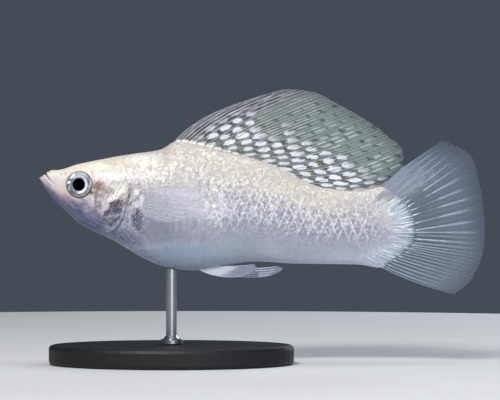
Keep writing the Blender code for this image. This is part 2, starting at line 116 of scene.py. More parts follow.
# Scales, in rows along the body
SCALE_PITCH = 2.0
SCALE_ROW = 2.38
SCALE_LENGTH = 2.05
SCALE_WIDTH = 2.5
SCALE_ROOT_SHARE = 0.5
SCALE_POINT = 0.5
SCALE_LIFT = 0.13
SCALE_THICKNESS = 0.04
SCALE_PATCH = 0.003
SCALE_RINGS = (0.55, 0.88, 1.0)
SCALE_SPOKES = 14
SCALE_BULGE, SCALE_SINK, SCALE_LOWEST = 0.05, 0.03, -0.08
SCALE_ROWS = 7
SCALE_MARGINS = (0.5, 0.45)
SCALE_SEED = 7
# Where the scales start, by height, and end
SHOULDER = (
    (-18, 12.6), (-12, 16.1), (-9, 17.9), (-6, 18.7), (-3, 19.2), (-1, 18.9), (0.2, 17.5), (1.2, 12.4),
    (8, 9.6),
)
SCALE_END = 74.6

# Fins, on the same surfaces as their solids
ROOT_SINK = 0.9
DORSAL_RAYS = 19
DORSAL_ROOT = (26.7, 59.5)
DORSAL_TIPS = (
    (44.0, 16.3), (50.8, 18.1), (56.1, 17.5), (60.3, 15.5), (64.2, 13.4), (67.9, 11.2), (71.1, 8.7),
    (74.2, 5.9), (74.6, 2.4), (70.0, -1.9),
)
DORSAL_ANGLES = ((0, 58), (0.12, 46), (0.3, 30), (0.5, 16), (0.7, 4), (0.85, -4), (1, -2))
DORSAL_SHARES = ((0, 0.37), (0.3, 0.45), (1, 0.45))
DORSAL_LEAN = 2.6
CAUDAL_RAYS = 20
CAUDAL_START = 69.6
CAUDAL_TIPS = (
    (82.4, 7.7), (88.0, 4.6), (89.6, 0.0), (90.5, -5.0), (90.9, -9.5), (90.8, -13.5), (89.9, -17.1),
    (88.0, -20.8), (84.6, -23.7),
)
CAUDAL_SPREAD_ROOTS = ((0, 0), (0.2, 0.21), (0.37, 0.33), (0.53, 0.47), (0.63, 0.6), (1, 1))
CAUDAL_SPREAD = (
    (0, 0), (0.16, 0.06), (0.26, 0.135), (0.37, 0.275), (0.47, 0.39), (0.58, 0.55), (0.68, 0.69),
    (0.8, 0.81), (1, 1),
)
CAUDAL_BOW = ((0, 5), (0.15, 0), (0.8, 0), (1, -9))
CAUDAL_LEAN = 0.9
PECTORAL_RAYS = 12
PECTORAL_ROOT = ((19.9, -3.0), (20.4, -6.6))
PECTORAL_TIPS = (
    (26.9, -1.6), (30.1, -1.7), (32.6, -2.5), (33.8, -3.9), (33.8, -5.5), (32.6, -6.9), (30.5, -8.1),
    (28.1, -8.9), (25.7, -9.0),
)
PECTORAL_ANGLES = ((0, 22), (1, -36))
PECTORAL_SINK = 0.6
PECTORAL_FLARE = (1.7, 1.5)
PELVIC_RAYS = 6
PELVIC_ROOT = (31.8, 34.6)
PELVIC_TIPS = ((41.6, -20.0), (43.4, -19.4), (44.4, -18.4), (44.0, -17.6))
PELVIC_ANGLES = ((0, -36), (1, -8))
PELVIC_Y = (1.35, 1.75)
GONOPODIUM_RAYS = 5
GONOPODIUM_ROOT = (34.6, 37.4)
GONOPODIUM_TIPS = ((47.5, -19.8), (48.9, -19.2), (49.7, -18.5), (48.9, -18.0))
GONOPODIUM_ANGLES = ((0, -36), (1, -22))
# Sheets: columns between two rays, rows, how far they belly, and how ragged their edge is
SHEET_COLUMNS, SHEET_ROWS, BILLOW, RAGGED = 8, 44, 0.05, 0.005
# Rays: points of a whole ray, sides, joints, then the branches' and twigs' spread and shares of thickness
RAY_POINTS, RAY_SIDES, JOINT_LENGTH, JOINT_DEPTH = 46, 6, 0.62, 0.12
BRANCH_SPREAD, TWIG_SPREADS = 0.08, (0.13, 0.06)
EDGE_SHARE, BRANCH_SHARE, TWIG_SHARE = 0.95, 0.72, 0.5
# The tail rays' bright bases
BASE_SEED, BASE_POINTS, BASES_LEFT_OUT = 11, 16, 0.2

# The photograph's frame: 500 by 400 pixels, level and square to the fish's left side
PIXEL = 0.2038
JAW_TIP_PIXEL = (38.9, 177.9)
PICTURE = (500, 400)
CAMERA_DISTANCE = 500
SENSOR = 36

# The stage, in metres. Lights: name, place, size, power, colour
FLOOR_RADIUS = 0.24
STAGE_MIDDLE = (0.015, 0, 0.036)
LIGHTS = (
    ("key", (-0.1, -0.36, 0.34), 0.12, 2.1, (1.0, 0.98, 0.95)),
    ("top", (0.06, -0.02, 0.45), 0.25, 0.7, (1.0, 0.99, 0.97)),
    ("fill", (0.2, -0.5, 0.02), 0.3, 0.75, (0.88, 0.92, 1.0)),
    ("rim", (0.25, 0.4, 0.2), 0.2, 0.7, (0.92, 0.95, 1.0)),
)


def to_model(points):
    """The fish's own millimetres to the model's metres."""
    points = np.asarray(points, float)
    return (points + np.array((-ROD_X, 0, JAW_TIP_HEIGHT))) * MM


def curve(points, at):
    """A smooth curve through (place, value) points that never overshoots them, read at one or many places."""
    places, values = np.array(points, float).T
    steps = np.diff(values) / np.diff(places)
    before, after = steps[:-1], steps[1:]
    same = before * after > 0
    inner = np.where(same, 2 * before * after / np.where(same, before + after, 1), 0)
    slopes = np.concatenate((steps[:1], inner, steps[-1:]))
    at = np.clip(at, places[0], places[-1])
    i = np.clip(np.searchsorted(places, at, side="right") - 1, 0, len(places) - 2)
    width = places[i + 1] - places[i]
    t = (at - places[i]) / width
    rise = t * t * (3 - 2 * t)
    bend = (t - 2 * t**2 + t**3) * slopes[i] + (t**3 - t**2) * slopes[i + 1]
    return values[i] + (values[i + 1] - values[i]) * rise + width * bend


def along(points, share):
    """The point at a share of the way, 0 to 1, along evenly timed points."""
    last = len(points) - 1
    return [curve([(i / last, p[k]) for i, p in enumerate(points)], share) for k in (0, 1)]


def smooth_line(points, count=40):
    """Even steps along a smooth line through the points."""
    x, z = along(points, np.linspace(0, 1, count))
    return np.stack((x, z), axis=-1)


def smooth_step(low, high, value):
    t = np.clip((value - low) / (high - low), 0, 1)
    return t * t * (3 - 2 * t)


def between(ends, share):
    return ends[0] + (ends[1] - ends[0]) * share


def line_distance(x, z, points):
    """Distance from a side-view line, which side of it, and how far along it, 0 to 1."""
    line = smooth_line(points)
    best = np.full(x.shape, 1e9)
    side = np.ones(x.shape)
    share = np.zeros(x.shape)
    for i, (a, b) in enumerate(zip(line, line[1:])):
        step = b - a
        t = np.clip(((x - a[0]) * step[0] + (z - a[1]) * step[1]) / (step @ step), 0, 1)
        dx, dz = x - a[0] - t * step[0], z - a[1] - t * step[1]
        away = np.hypot(dx, dz)
        nearer = away < best
        best = np.where(nearer, away, best)
        side = np.where(nearer, np.sign(step[0] * dz - step[1] * dx), side)
        share = np.where(nearer, (i + t) / (len(line) - 1), share)
    return best, side, share


def ring_points(x, angle):
    """Points of the body's surface, from the back at angle 0 down the left side."""
    top, bottom, half = curve(BACK, x), curve(BELLY, x), curve(HALF_WIDTH, x)
    level = bottom + (top - bottom) * curve(WIDEST, x)
    power = 2 / curve(SQUARENESS, x)
    across, up = np.sin(angle), np.cos(angle)
    reach = np.where(up > 0, top - level, level - bottom)
    z = level + np.sign(up) * np.abs(up) ** power * reach
    y = -np.sign(across) * np.abs(across) ** power * half
    return np.stack(np.broadcast_arrays(x, y, z), axis=-1)


def half_width_at(x, z):
    """How far the flesh reaches sideways at one place and height."""
    top, bottom = curve(BACK, x), curve(BELLY, x)
    level = bottom + (top - bottom) * curve(WIDEST, x)
    reach = np.where(z > level, top - level, level - bottom)
    power = curve(SQUARENESS, x)
    return curve(HALF_WIDTH, x) * np.clip(1 - np.abs((z - level) / reach) ** power, 0, 1) ** (1 / power)


def grid_normals(points):
    """Normals of a grid that closes on itself in its second direction."""
    along_x = np.gradient(points, axis=0)
    around = np.roll(points, -1, axis=1) - np.roll(points, 1, axis=1)
    normals = np.cross(along_x, around)
    return normals / np.maximum(np.linalg.norm(normals, axis=-1, keepdims=True), 1e-9)


class Value:
    """A node's socket. Arithmetic on it adds Math nodes to its tree."""

    def __init__(self, tree, socket):
        self.tree, self.socket = tree, socket

    def math(self, operation, *values):
        return self.tree.add("ShaderNodeMath", {"operation": operation}, dict(enumerate(values)))

    def __add__(self, other):
        return self.math("ADD", self, other)

    def __radd__(self, other):
        return self.math("ADD", other, self)

    def __sub__(self, other):
        return self.math("SUBTRACT", self, other)

    def __rsub__(self, other):
        return self.math("SUBTRACT", other, self)

    def __mul__(self, other):
        return self.math("MULTIPLY", self, other)

    def __rmul__(self, other):
        return self.math("MULTIPLY", other, self)

    def __truediv__(self, other):
        return self.math("DIVIDE", self, other)

    def __rtruediv__(self, other):
        return self.math("DIVIDE", other, self)

    def __pow__(self, other):
        return self.math("POWER", self, other)

    def __abs__(self):
        return self.math("ABSOLUTE", self)

    def floor(self):
        return self.math("FLOOR", self)

    def fract(self):
        return self.math("FRACT", self)

    def sine(self):
        return self.math("SINE", self)

    def angle(self, ahead):
        """The direction of a slope that rises by this value over the one ahead."""
        return self.math("ARCTAN2", self, ahead)

    def most(self, other):
        return self.math("MAXIMUM", self, other)

    def least(self, other):
        return self.math("MINIMUM", self, other)


class Tree:
    """A node tree that expressions fill."""

    def __init__(self, owner):
        self.owner = owner

    def add(self, kind, settings=None, values=None, output=0):
        """Adds a node of any kind: its settings first, then the values or links of its sockets."""
        node = self.owner.nodes.new(kind)
        for name, setting in (settings or {}).items():
            if name == "stops":
                fill_ramp(node.color_ramp, setting)
            else:
                setattr(node, name, setting)
        for name, value in (values or {}).items():
            if isinstance(value, Value):
                self.owner.links.new(value.socket, node.inputs[name])
            else:
                node.inputs[name].default_value = value
        return Value(self, node.outputs[output])

    def ramp(self, low, high, value):
        """0 below low, 1 above high, and smooth between."""
        settings = {"interpolation_type": "SMOOTHSTEP"}
        return self.add("ShaderNodeMapRange", settings, {0: value, 1: low, 2: high})

    def fall(self, low, high, value):
        """1 below low, 0 above high, and smooth between."""
        return 1 - self.ramp(low, high, value)

    def slanted(self, place, turn, across, lengthwise):
        """A place for streaks that lean towards the tail by an angle, closer across than lengthwise."""
        values = {"Vector": place, "Rotation": (0, turn, 0), "Scale": (1 / across, 1, 1 / lengthwise)}
        return self.add("ShaderNodeMapping", {"vector_type": "TEXTURE"}, values)

    def colours(self, factor, first, second, blend="MIX"):
        settings = {"data_type": "RGBA", "blend_type": blend}
        return self.add("ShaderNodeMix", settings, {0: factor, 6: first, 7: second}, output=2)

    def shade(self, colour, factor, tone):
        """The colour multiplied by a darker tone, as far as the factor says."""
        return self.colours(factor, colour, tone, blend="MULTIPLY")

    def noise(self, place, scale, detail=3.0, roughness=0.5):
        values = {"Vector": place, "Scale": scale, "Detail": detail, "Roughness": roughness}
        return self.add("ShaderNodeTexNoise", None, values)

    def attribute(self, name):
        return self.add("ShaderNodeAttribute", {"attribute_name": name}, output=2)

    def point(self, *values):
        return self.add("ShaderNodeCombineXYZ", None, dict(enumerate(values)))

    def chance(self, seed):
        """An even random number, 0 to 1, for each value of the seed."""
        return self.add("ShaderNodeTexWhiteNoise", {"noise_dimensions": "1D"}, {"W": seed})

    def bump(self, strength, depth, height):
        """A normal that follows a height, which is depth millimetres at most."""
        values = {"Strength": strength, "Distance": depth * MM, "Height": height}
        return self.add("ShaderNodeBump", None, values)


def fill_ramp(ramp, stops):
    while len(ramp.elements) < len(stops):
        ramp.elements.new(1)
    for element, (place, colour) in zip(ramp.elements, stops):
        element.position = place
        element.color = colour


def srgb(red, green, blue):
    """A screen colour, 0 to 255, as a linear one."""
    return (*(((c / 255 + 0.055) / 1.055) ** 2.4 for c in (red, green, blue)), 1)


def new_finish(name, constants=None):
    """A material with one Principled BSDF. Values that are the same all over go straight on its sockets."""
    material = bpy.data.materials.new(name)
    material.use_nodes = True
    shader = material.node_tree.nodes["Principled BSDF"]
    for socket, value in (constants or {}).items():
        shader.inputs[socket].default_value = value
    return material, Tree(material.node_tree), shader


def connect(tree, shader, links):
    for socket, value in links.items():
        tree.owner.links.new(value.socket, shader.inputs[socket])


def fish_place(tree):
    """The fish's own millimetres at a point, as a vector."""
    coordinates = tree.add("ShaderNodeTexCoord", output=3)
    values = {"Vector": coordinates, "Location": (ROD_X, 0, -JAW_TIP_HEIGHT), "Scale": (1 / MM,) * 3}
    return tree.add("ShaderNodeMapping", None, values)


def side_view(tree, place):
    """How far back and how high a place is."""
    return [tree.add("ShaderNodeSeparateXYZ", None, {0: place}, output=k) for k in (0, 2)]


# How many radii a patch's distance is known for, and a depth that makes it the same from side to side
PATCH_REACH, PATCH_DEPTH = 4.0, 4000


def patch(tree, place, ragged, centre, radii, turn=0.0, soft=0.5):
    """1 inside an oval of the side view and 0 outside it, with a ragged and more or less soft edge.

    A round gradient measures the distance, because it takes a mapped point as it is. A vector node needs
    each point converted first, and Cycles has no room in one shader for that many.
    """
    values = {
        "Vector": place,
        "Location": (centre[0], 0, centre[1]),
        "Rotation": (0, -math.radians(turn), 0),
        "Scale": (radii[0] * PATCH_REACH, PATCH_DEPTH, radii[1] * PATCH_REACH),
    }
    local = tree.add("ShaderNodeMapping", {"vector_type": "TEXTURE"}, values)
    near = tree.add("ShaderNodeTexGradient", {"gradient_type": "SPHERICAL"}, {0: local}, output=1)
    away = (1 - near) * PATCH_REACH + ragged
    return tree.fall(1 - soft, 1 + soft * 0.5, away)



# The point that the pale fringe at the stem's end spreads from, and the oval that the stem's end follows
FRINGE_CENTRE = (60.0, -10.5)
STEM_CENTRE, STEM_RADII = (68.5, -10.4), (8.1, 7.9)
# Body colours from the belly, 0, to the back, 1
FLANK = (
    (0.0, srgb(184, 194, 214)),
    (0.12, srgb(178, 184, 202)),
    (0.28, srgb(157, 161, 176)),
    (0.44, srgb(166, 167, 181)),
    (0.58, srgb(184, 183, 190)),
    (0.7, srgb(199, 195, 191)),
    (0.85, srgb(197, 192, 182)),
    (1.0, srgb(200, 196, 187)),
)
HEAD = (
    (0.0, srgb(96, 102, 132)),
    (0.14, srgb(100, 104, 134)),
    (0.25, srgb(122, 116, 138)),
    (0.36, srgb(192, 180, 182)),
    (0.5, srgb(218, 208, 205)),
    (0.68, srgb(222, 214, 208)),
    (0.85, srgb(224, 216, 203)),
    (1.0, srgb(230, 223, 211)),
)
# Marks of the side view: centre, radii, turn, edge softness, colour, strength
MARKS = (
    ((2.9, -0.7), (1.63, 1.43), 0, 0.9, srgb(206, 194, 192), 0.7),
    ((5.4, -2.5), (1.63, 1.63), -20, 1.0, srgb(226, 204, 188), 0.7),
    ((6.4, -4.5), (1.83, 0.82), -38, 1.0, srgb(140, 120, 138), 0.75),
    ((8.5, -5.9), (1.43, 0.92), -15, 1.0, srgb(74, 80, 120), 0.8),
    ((11.1, -8.7), (3.46, 1.32), -32, 0.9, srgb(104, 110, 146), 0.85),
    ((13.4, 2.6), (2.85, 0.92), 8, 1.0, srgb(242, 238, 222), 0.7),
    ((16.2, 2.1), (1.83, 1.02), 5, 1.0, srgb(218, 210, 184), 0.7),
    ((14.0, 0.1), (3.87, 1.02), -4, 0.75, srgb(236, 227, 226), 0.8),
    ((11.4, 0.7), (0.33, 1.43), 8, 0.75, srgb(206, 176, 150), 0.5),
    ((12.4, -1.7), (1.53, 1.22), -10, 0.6, srgb(128, 106, 74), 1),
    ((14.2, -2.6), (1.83, 1.02), -20, 0.75, srgb(150, 138, 132), 0.7),
    ((12.1, -3.5), (0.61, 1.22), 0, 0.75, srgb(128, 108, 92), 0.85),
    ((11.1, -3.0), (0.61, 0.49), -30, 0.6, srgb(76, 62, 84), 0.9),
    ((7.2, -5.1), (1.02, 0.61), -20, 0.9, srgb(112, 96, 112), 0.7),
    ((9.6, -5.3), (0.92, 0.82), 0, 0.9, srgb(110, 102, 128), 0.8),
    ((10.9, -4.9), (0.65, 0.92), 10, 0.75, srgb(194, 184, 204), 0.9),
    ((10.9, -6.5), (0.82, 1.22), 10, 0.9, srgb(128, 122, 146), 0.7),
    ((9.3, -4.4), (0.82, 0.33), -25, 0.75, srgb(120, 104, 118), 0.6),
    ((8.7, -6.9), (1.22, 0.41), -30, 0.75, srgb(70, 78, 124), 0.7),
    ((10.1, -6.6), (0.61, 0.31), 10, 0.75, srgb(156, 160, 186), 0.6),
    ((11.9, -5.5), (0.37, 1.83), 0, 0.75, srgb(134, 126, 120), 0.6),
    ((11.4, -4.9), (0.2, 1.22), 0, 0.75, srgb(216, 212, 224), 0.8),
    ((13.0, -3.7), (0.82, 0.71), 0, 0.75, srgb(128, 120, 146), 0.7),
    ((13.1, -6.9), (0.82, 0.82), 0, 0.75, srgb(190, 172, 202), 0.95),
    ((12.7, -5.7), (0.53, 1.22), 0, 0.9, srgb(128, 118, 138), 0.7),
    ((14.0, -5.7), (0.82, 1.22), -20, 0.75, srgb(216, 206, 226), 0.8),
    ((16.2, -5.3), (1.94, 1.12), 22, 0.52, srgb(84, 70, 72), 1),
    ((15.8, -6.7), (2.04, 0.92), 10, 0.52, srgb(72, 66, 96), 1),
    ((14.8, -8.5), (2.85, 1.02), 12, 0.75, srgb(92, 100, 114), 0.85),
    ((14.1, -7.1), (0.61, 0.53), 0, 0.6, srgb(62, 48, 72), 0.9),
    ((15.0, -5.2), (0.41, 0.71), 0, 0.6, srgb(66, 52, 56), 0.8),
    ((15.1, -9.3), (1.02, 0.45), 45, 0.6, srgb(52, 58, 62), 0.9),
    ((16.2, -8.4), (1.12, 0.26), 45, 0.6, srgb(60, 64, 82), 0.8),
    ((16.4, -8.9), (1.22, 0.22), 52, 0.75, srgb(128, 134, 164), 0.7),
    # Painted highlight: a cream-white patch at the back of the gill cover
    ((17.2, -2.1), (1.63, 1.22), -8, 0.6, srgb(226, 222, 202), 1),
    ((15.9, -3.6), (2.24, 0.59), 38, 0.45, srgb(250, 248, 246), 1),
    ((17.6, -4.0), (0.82, 0.51), 55, 0.6, srgb(206, 192, 160), 0.7),
    ((17.6, -6.6), (1.22, 0.22), 78, 0.6, srgb(168, 190, 206), 0.9),
    ((16.9, -8.6), (1.22, 0.22), 62, 0.6, srgb(160, 184, 206), 0.9),
    ((15.5, -10.3), (1.32, 0.22), 34, 0.6, srgb(166, 190, 214), 0.9),
    ((18.7, -3.1), (0.33, 1.83), 0, 0.75, srgb(132, 122, 124), 0.8),
    ((18.2, -5.1), (0.33, 0.82), 15, 0.75, srgb(140, 126, 120), 0.7),
    ((19.9, -1.3), (1.43, 1.02), 0, 1.0, srgb(186, 178, 182), 0.6),
    ((20.3, -3.0), (0.82, 0.61), 0, 0.6, srgb(240, 238, 236), 0.75),
    ((20.3, -5.3), (1.02, 0.73), 0, 0.6, srgb(234, 232, 236), 0.7),
    ((21.3, -4.3), (0.49, 1.22), 0, 0.6, srgb(228, 228, 232), 0.65),
    ((20.3, -8.7), (1.32, 2.24), 0, 0.4, srgb(76, 72, 104), 1.0),
    ((18.8, -11.8), (3.26, 1.43), -22, 1.0, srgb(98, 106, 138), 0.75),
    ((23.5, -10.1), (4.08, 2.65), -10, 0.9, srgb(124, 126, 144), 0.75),
    ((28.9, -3.7), (4.08, 1.83), -6, 0.9, srgb(216, 214, 224), 0.7),
    ((37.4, -15.8), (4.89, 1.83), 0, 0.9, srgb(190, 200, 216), 0.6),
    ((33.6, -6.1), (7.34, 2.65), -6, 0.9, srgb(216, 215, 223), 0.8),
    ((66.6, -5.1), (7.74, 2.85), 0, 0.9, srgb(182, 182, 190), 0.6),
    ((60.9, -17.9), (10.19, 0.61), 0, 0.8, srgb(204, 198, 208), 0.7),
    ((70.7, -15.9), (4.48, 2.45), 0, 0.9, srgb(206, 214, 226), 0.7),
    ((49.5, -7.3), (5.3, 1.63), 6, 0.9, srgb(172, 172, 184), 0.5),
    ((26.1, -12.2), (6.93, 1.63), 4, 0.9, srgb(130, 136, 152), 0.65),
    ((17.2, -12.2), (3.46, 1.22), -28, 1.0, srgb(98, 106, 134), 0.7),
    ((28.1, -14.8), (7.34, 1.22), 4, 0.9, srgb(136, 150, 168), 0.6),
    ((21.5, 3.6), (3.67, 1.43), -8, 0.9, srgb(246, 242, 234), 0.7),
    ((14.8, 3.0), (2.04, 0.82), -10, 1.0, srgb(186, 179, 160), 0.55),
    ((3.3, -1.9), (0.82, 0.82), 0, 0.9, srgb(228, 216, 212), 0.5),
    ((27.3, 1.3), (3.06, 1.43), 8, 0.8, srgb(184, 177, 168), 0.45),
    ((53.1, -15.2), (5.3, 1.22), 0, 0.9, srgb(148, 152, 166), 0.5),
    ((47.5, -2.7), (4.89, 1.22), 14, 0.9, srgb(230, 224, 214), 0.5),
    # Painted shade at the top of the stem's end
    ((73.5, -3.1), (2.65, 1.43), -38, 0.7, srgb(146, 152, 170), 0.8),
    ((30.9, -15.4), (8.97, 2.45), -4, 0.8, srgb(150, 168, 192), 0.7),
    ((41.6, -14.2), (4.89, 1.83), 0, 0.7, srgb(150, 170, 180), 0.6),
)
# Painted shade for the creases and pits of the head
CREASE_SHADE = srgb(92, 82, 96)


def body_colour(tree, place, x, z, start=-10.0):
    """The colour that the skin and the scales share: pearl, creamy on the back and blue-grey below, with painted
    highlights as small white glints.

    Marks that end ahead of start are left out.
    """
    waver = tree.noise(place, 0.5, detail=3) - 0.5
    ragged = tree.noise(place, 1.5, detail=3, roughness=0.7) - 0.5
    height = tree.attribute("height") * 0.5 + 0.5 + waver * 0.1 + ragged * 0.12
    colour = ground_colour(tree, place, x, height, ragged)
    there = tree.ramp(71.0, 75.0, x + abs(z - STEM_LEVEL) * 0.42 + ragged * 2)
    calm = tree.ramp(21.5, 24, x) * tree.fall(31, 37, x) * tree.fall(0.6, 0.74, height)
    # lively: how strong the painted glints and the dark grain are, by height
    lively = tree.ramp(0.15, 0.45, height) * (1 - there * 0.8) * (1 - calm * 0.75)
    behind = tree.ramp(9.5, 13, x)
    slanted = tree.slanted(place, 0.45, 1.5, 0.8)
    dark = tree.fall(0.38, 0.52, tree.noise(slanted, 1.35, detail=2, roughness=0.65))
    # Painted highlights: small white glints, strongest high on the flank and behind the head; the marks let them
    # partly through
    painted_glint = tree.ramp(0.56, 0.64, tree.noise(slanted, 1.6, detail=2, roughness=0.7))
    highlight_share = painted_glint * (lively * 0.34 + 0.04) * (behind * 0.75 + 0.25)
    colour = tree.colours(highlight_share, colour, srgb(255, 254, 250))
    aside = tree.point(waver * 0.6)
    drifted = tree.add("ShaderNodeVectorMath", {"operation": "ADD"}, {0: place, 1: aside})
    edge, keep = ragged * 1.4, 1 - painted_glint * 0.3
    for centre, radii, turn, soft, mark, strength in MARKS:
        if centre[0] + max(radii) > start:
            inside = patch(tree, drifted, edge, centre, radii, turn, soft)
            colour = tree.colours(inside * keep * strength, colour, mark)
    colour = stem_end_colour(tree, colour, x, z, there, ragged)
    colour = streaked(tree, colour, place, slanted, x, height, behind)
    return tree.shade(colour, dark * (lively * 0.2 + 0.1) * (behind * 0.7 + 0.3), srgb(178, 170, 180))


def ground_colour(tree, place, x, height, ragged):
    """The head's and the flank's colours by height, warmer above and with upright bands on the shoulder."""
    head = tree.add("ShaderNodeValToRGB", {"stops": HEAD}, {0: height})
    flank = tree.add("ShaderNodeValToRGB", {"stops": FLANK}, {0: height})
    colour = tree.colours(tree.ramp(10.5, 19, x + ragged * 3), head, flank)
    warm = tree.ramp(0.46, 0.66, tree.noise(place, 0.8, detail=3, roughness=0.6))
    colour = tree.shade(colour, warm * tree.ramp(0.55, 0.8, height) * 0.4, srgb(250, 243, 226))
    upright = tree.add("ShaderNodeMapping", None, {"Vector": place, "Scale": (1.3, 1, 0.1)})
    bands = tree.ramp(0.45, 0.6, tree.noise(upright, 1.0, detail=2))
    shoulder = tree.ramp(18, 21, x) * tree.fall(36, 46, x)
    return tree.shade(colour, bands * shoulder * 0.4, srgb(214, 208, 220))


def stem_end_colour(tree, colour, x, z, there, ragged):
    """A fringe of white beams at the stem's end, and the fin's tone beyond it."""
    rise, ahead = z - FRINGE_CENTRE[1], x - FRINGE_CENTRE[0]
    around = rise.angle(ahead) * 34
    beam = tree.point(around, (rise * rise + ahead * ahead) ** 0.5 * 0.3)
    beams = tree.noise(beam, 1.0, detail=1, roughness=0.5)
    fringe = there * (1 - tree.ramp(-6.0, -3.4, z + ragged * 2) * 0.75)
    colour = tree.colours(fringe * 0.6, colour, srgb(202, 210, 224))
    colour = tree.colours(tree.ramp(0.5, 0.6, beams) * fringe * 0.75, colour, srgb(244, 249, 255))
    colour = tree.shade(colour, tree.fall(0.4, 0.5, beams) * fringe * 0.45, srgb(176, 184, 202))
    along_stem, up_stem = (x - STEM_CENTRE[0]) / STEM_RADII[0], (z - STEM_CENTRE[1]) / STEM_RADII[1]
    out = (along_stem * along_stem + up_stem * up_stem) ** 0.5 + (0.5 - beams) * 0.4
    beyond = tree.ramp(0.8, 1.0, out) * tree.ramp(69.5, 71.5, x + ragged * 2)
    high = tree.ramp(-7.0, -3.5, z)
    return tree.colours(beyond * 0.85, colour, tree.colours(high, srgb(112, 124, 140), srgb(138, 138, 158)))


def streaked(tree, colour, place, slanted, x, height, behind):
    """Strokes: a hatched cheek, white ticks on the flank that are painted highlights, threads along the throat and a
    foil-like gill cover with painted highlights.
    """
    hatched = tree.slanted(place, 0.7, 2.6, 0.8)
    hatch = tree.fall(0.36, 0.48, tree.noise(hatched, 1.2, detail=2, roughness=0.6)) * tree.ramp(9.5, 12, x)
    hatch = hatch * tree.fall(20.5, 23, x) * tree.fall(0.6, 0.8, height) * tree.ramp(0.1, 0.3, height)
    colour = tree.shade(colour, hatch * 0.7, srgb(150, 142, 150))
    # Painted highlights: short white slanted ticks where the scales begin to show
    ticks = tree.ramp(0.57, 0.62, tree.noise(slanted, 2.1, detail=1, roughness=0.5)) * tree.ramp(29, 35, x)
    ticks = ticks * tree.fall(50, 62, x) * tree.ramp(0.34, 0.46, height) * tree.fall(0.72, 0.84, height)
    colour = tree.colours(ticks * 0.55, colour, srgb(252, 252, 255))
    below = tree.fall(0.24, 0.36, height) * tree.fall(20, 26, x) * tree.ramp(4, 7, x)
    threads = tree.noise(tree.slanted(place, -0.95, 1.6, 0.45), 1.3, detail=2, roughness=0.6)
    colour = tree.colours(tree.ramp(0.52, 0.62, threads) * below * 0.3, colour, srgb(158, 166, 192))
    colour = tree.shade(colour, tree.fall(0.4, 0.48, threads) * below * 0.34, srgb(150, 154, 178))
    # Painted highlights: bright strokes over the gill cover, like creased foil
    foil = tree.ramp(0.54, 0.62, tree.noise(hatched, 1.9, detail=2, roughness=0.6)) * tree.ramp(0.12, 0.3, height)
    foil = foil * behind * tree.fall(19, 23, x) * tree.fall(0.7, 0.85, height)
    return tree.colours(foil * 0.24, colour, srgb(248, 246, 250))


def make_skin_finish():
    """Wet pearl, with fine pores and glints, partly glossy patches and partly painted highlights, and painted shade
    in the head's creases and pits.
    """
    material, tree, shader = new_finish("pearly_skin", {"Coat Roughness": 0.2, "IOR": 1.4})
    place = fish_place(tree)
    x, z = side_view(tree, place)
    seam = tree.attribute("seam")
    # Painted shade in the head's creases and pits
    colour = tree.colours(seam * 0.85, body_colour(tree, place, x, z), CREASE_SHADE)
    shine = tree.noise(place, 1.9, detail=4, roughness=0.7)
    pores = tree.noise(place, 6.0, detail=2)
    bump = tree.bump(0.8, 0.18, shine + pores * 0.3)
    links = {
        "Base Color": colour,
        "Roughness": 0.6 - tree.ramp(0.45, 0.65, shine) * 0.25,
        "Metallic": tree.ramp(0.5, 0.65, shine) * 0.1,
        "Coat Weight": 0.04 + shine * 0.16,
        "Normal": bump,
    }
    connect(tree, shader, links)
    return material


def make_scale_finish():
    """Each scale is pearl with its own glints and the shadows beside them, both painted, a thin pale free edge that
    is a painted highlight and a dusky middle towards the tail.
    """
    material, tree, shader = new_finish("pearly_scales", {"Coat Roughness": 0.2, "IOR": 1.4})
    place = fish_place(tree)
    x, z = side_view(tree, place)
    rim = tree.attribute("rim")
    tint = tree.attribute("tint")
    height = tree.attribute("height")
    own = tree.point(tree.attribute("ahead") * 0.8, tree.attribute("across"), tint * 90)
    streaks = tree.noise(own, 3.6, detail=1, roughness=0.6)
    broken = tree.noise(place, 1.1, detail=2, roughness=0.6)
    fray = streaks - 0.5
    colour = body_colour(tree, place, x, z, start=12)
    band = tree.fall(0.16, 0.5, abs(height - 0.06)) * 0.92 + 0.08
    end = tree.ramp(66.5, 70.0, x + fray * 4)
    clear = tree.ramp(30, 44, x + (broken - 0.5) * 16) * band * (1 - end)
    dusk = tree.fall(0.7, 0.92, rim + fray * 0.2)
    colour = tree.shade(colour, dusk * clear * 0.6, srgb(204, 202, 212))
    calm = tree.fall(31, 37, x) * tree.fall(0.2, 0.5, height)
    lively = tree.ramp(-0.5, 0.1, height) * (1 - end * 0.8) * (1 - calm * 0.7)
    back = tree.ramp(0.3, 0.6, height)
    # Painted shadows beside each scale's glints, less on the back
    painted_shadow = tree.fall(0.4, 0.5, streaks)
    colour = tree.shade(colour, painted_shadow * (lively * 0.3 + 0.05) * (1 - back * 0.5), srgb(192, 185, 190))
    # Painted highlights: a white glint on each scale
    bright = tree.ramp(0.55, 0.62, streaks)
    colour = tree.colours(bright * (lively * 0.28 + 0.02), colour, srgb(255, 254, 250))
    # Painted highlight along each scale's free edge, broken here and there, clearest where the rows show
    edge = tree.ramp(0.9, 0.95, rim) * (tree.ramp(0.36, 0.52, broken) * 0.8 + 0.2)
    colour = tree.colours(edge * (clear * 0.42 + lively * 0.08), colour, srgb(240, 243, 250))
    colour = tree.shade(colour, tree.fall(0.0, 0.5, tint) * 0.16, srgb(214, 212, 222))
    bump = tree.bump(0.5, 0.12, streaks)
    links = {
        "Base Color": colour,
        "Roughness": 0.55 - bright * 0.2,
        "Metallic": 0.02 + bright * 0.08,
        "Coat Weight": 0.04 + tint * 0.1,
        "Normal": bump,
    }
    connect(tree, shader, links)
    return material


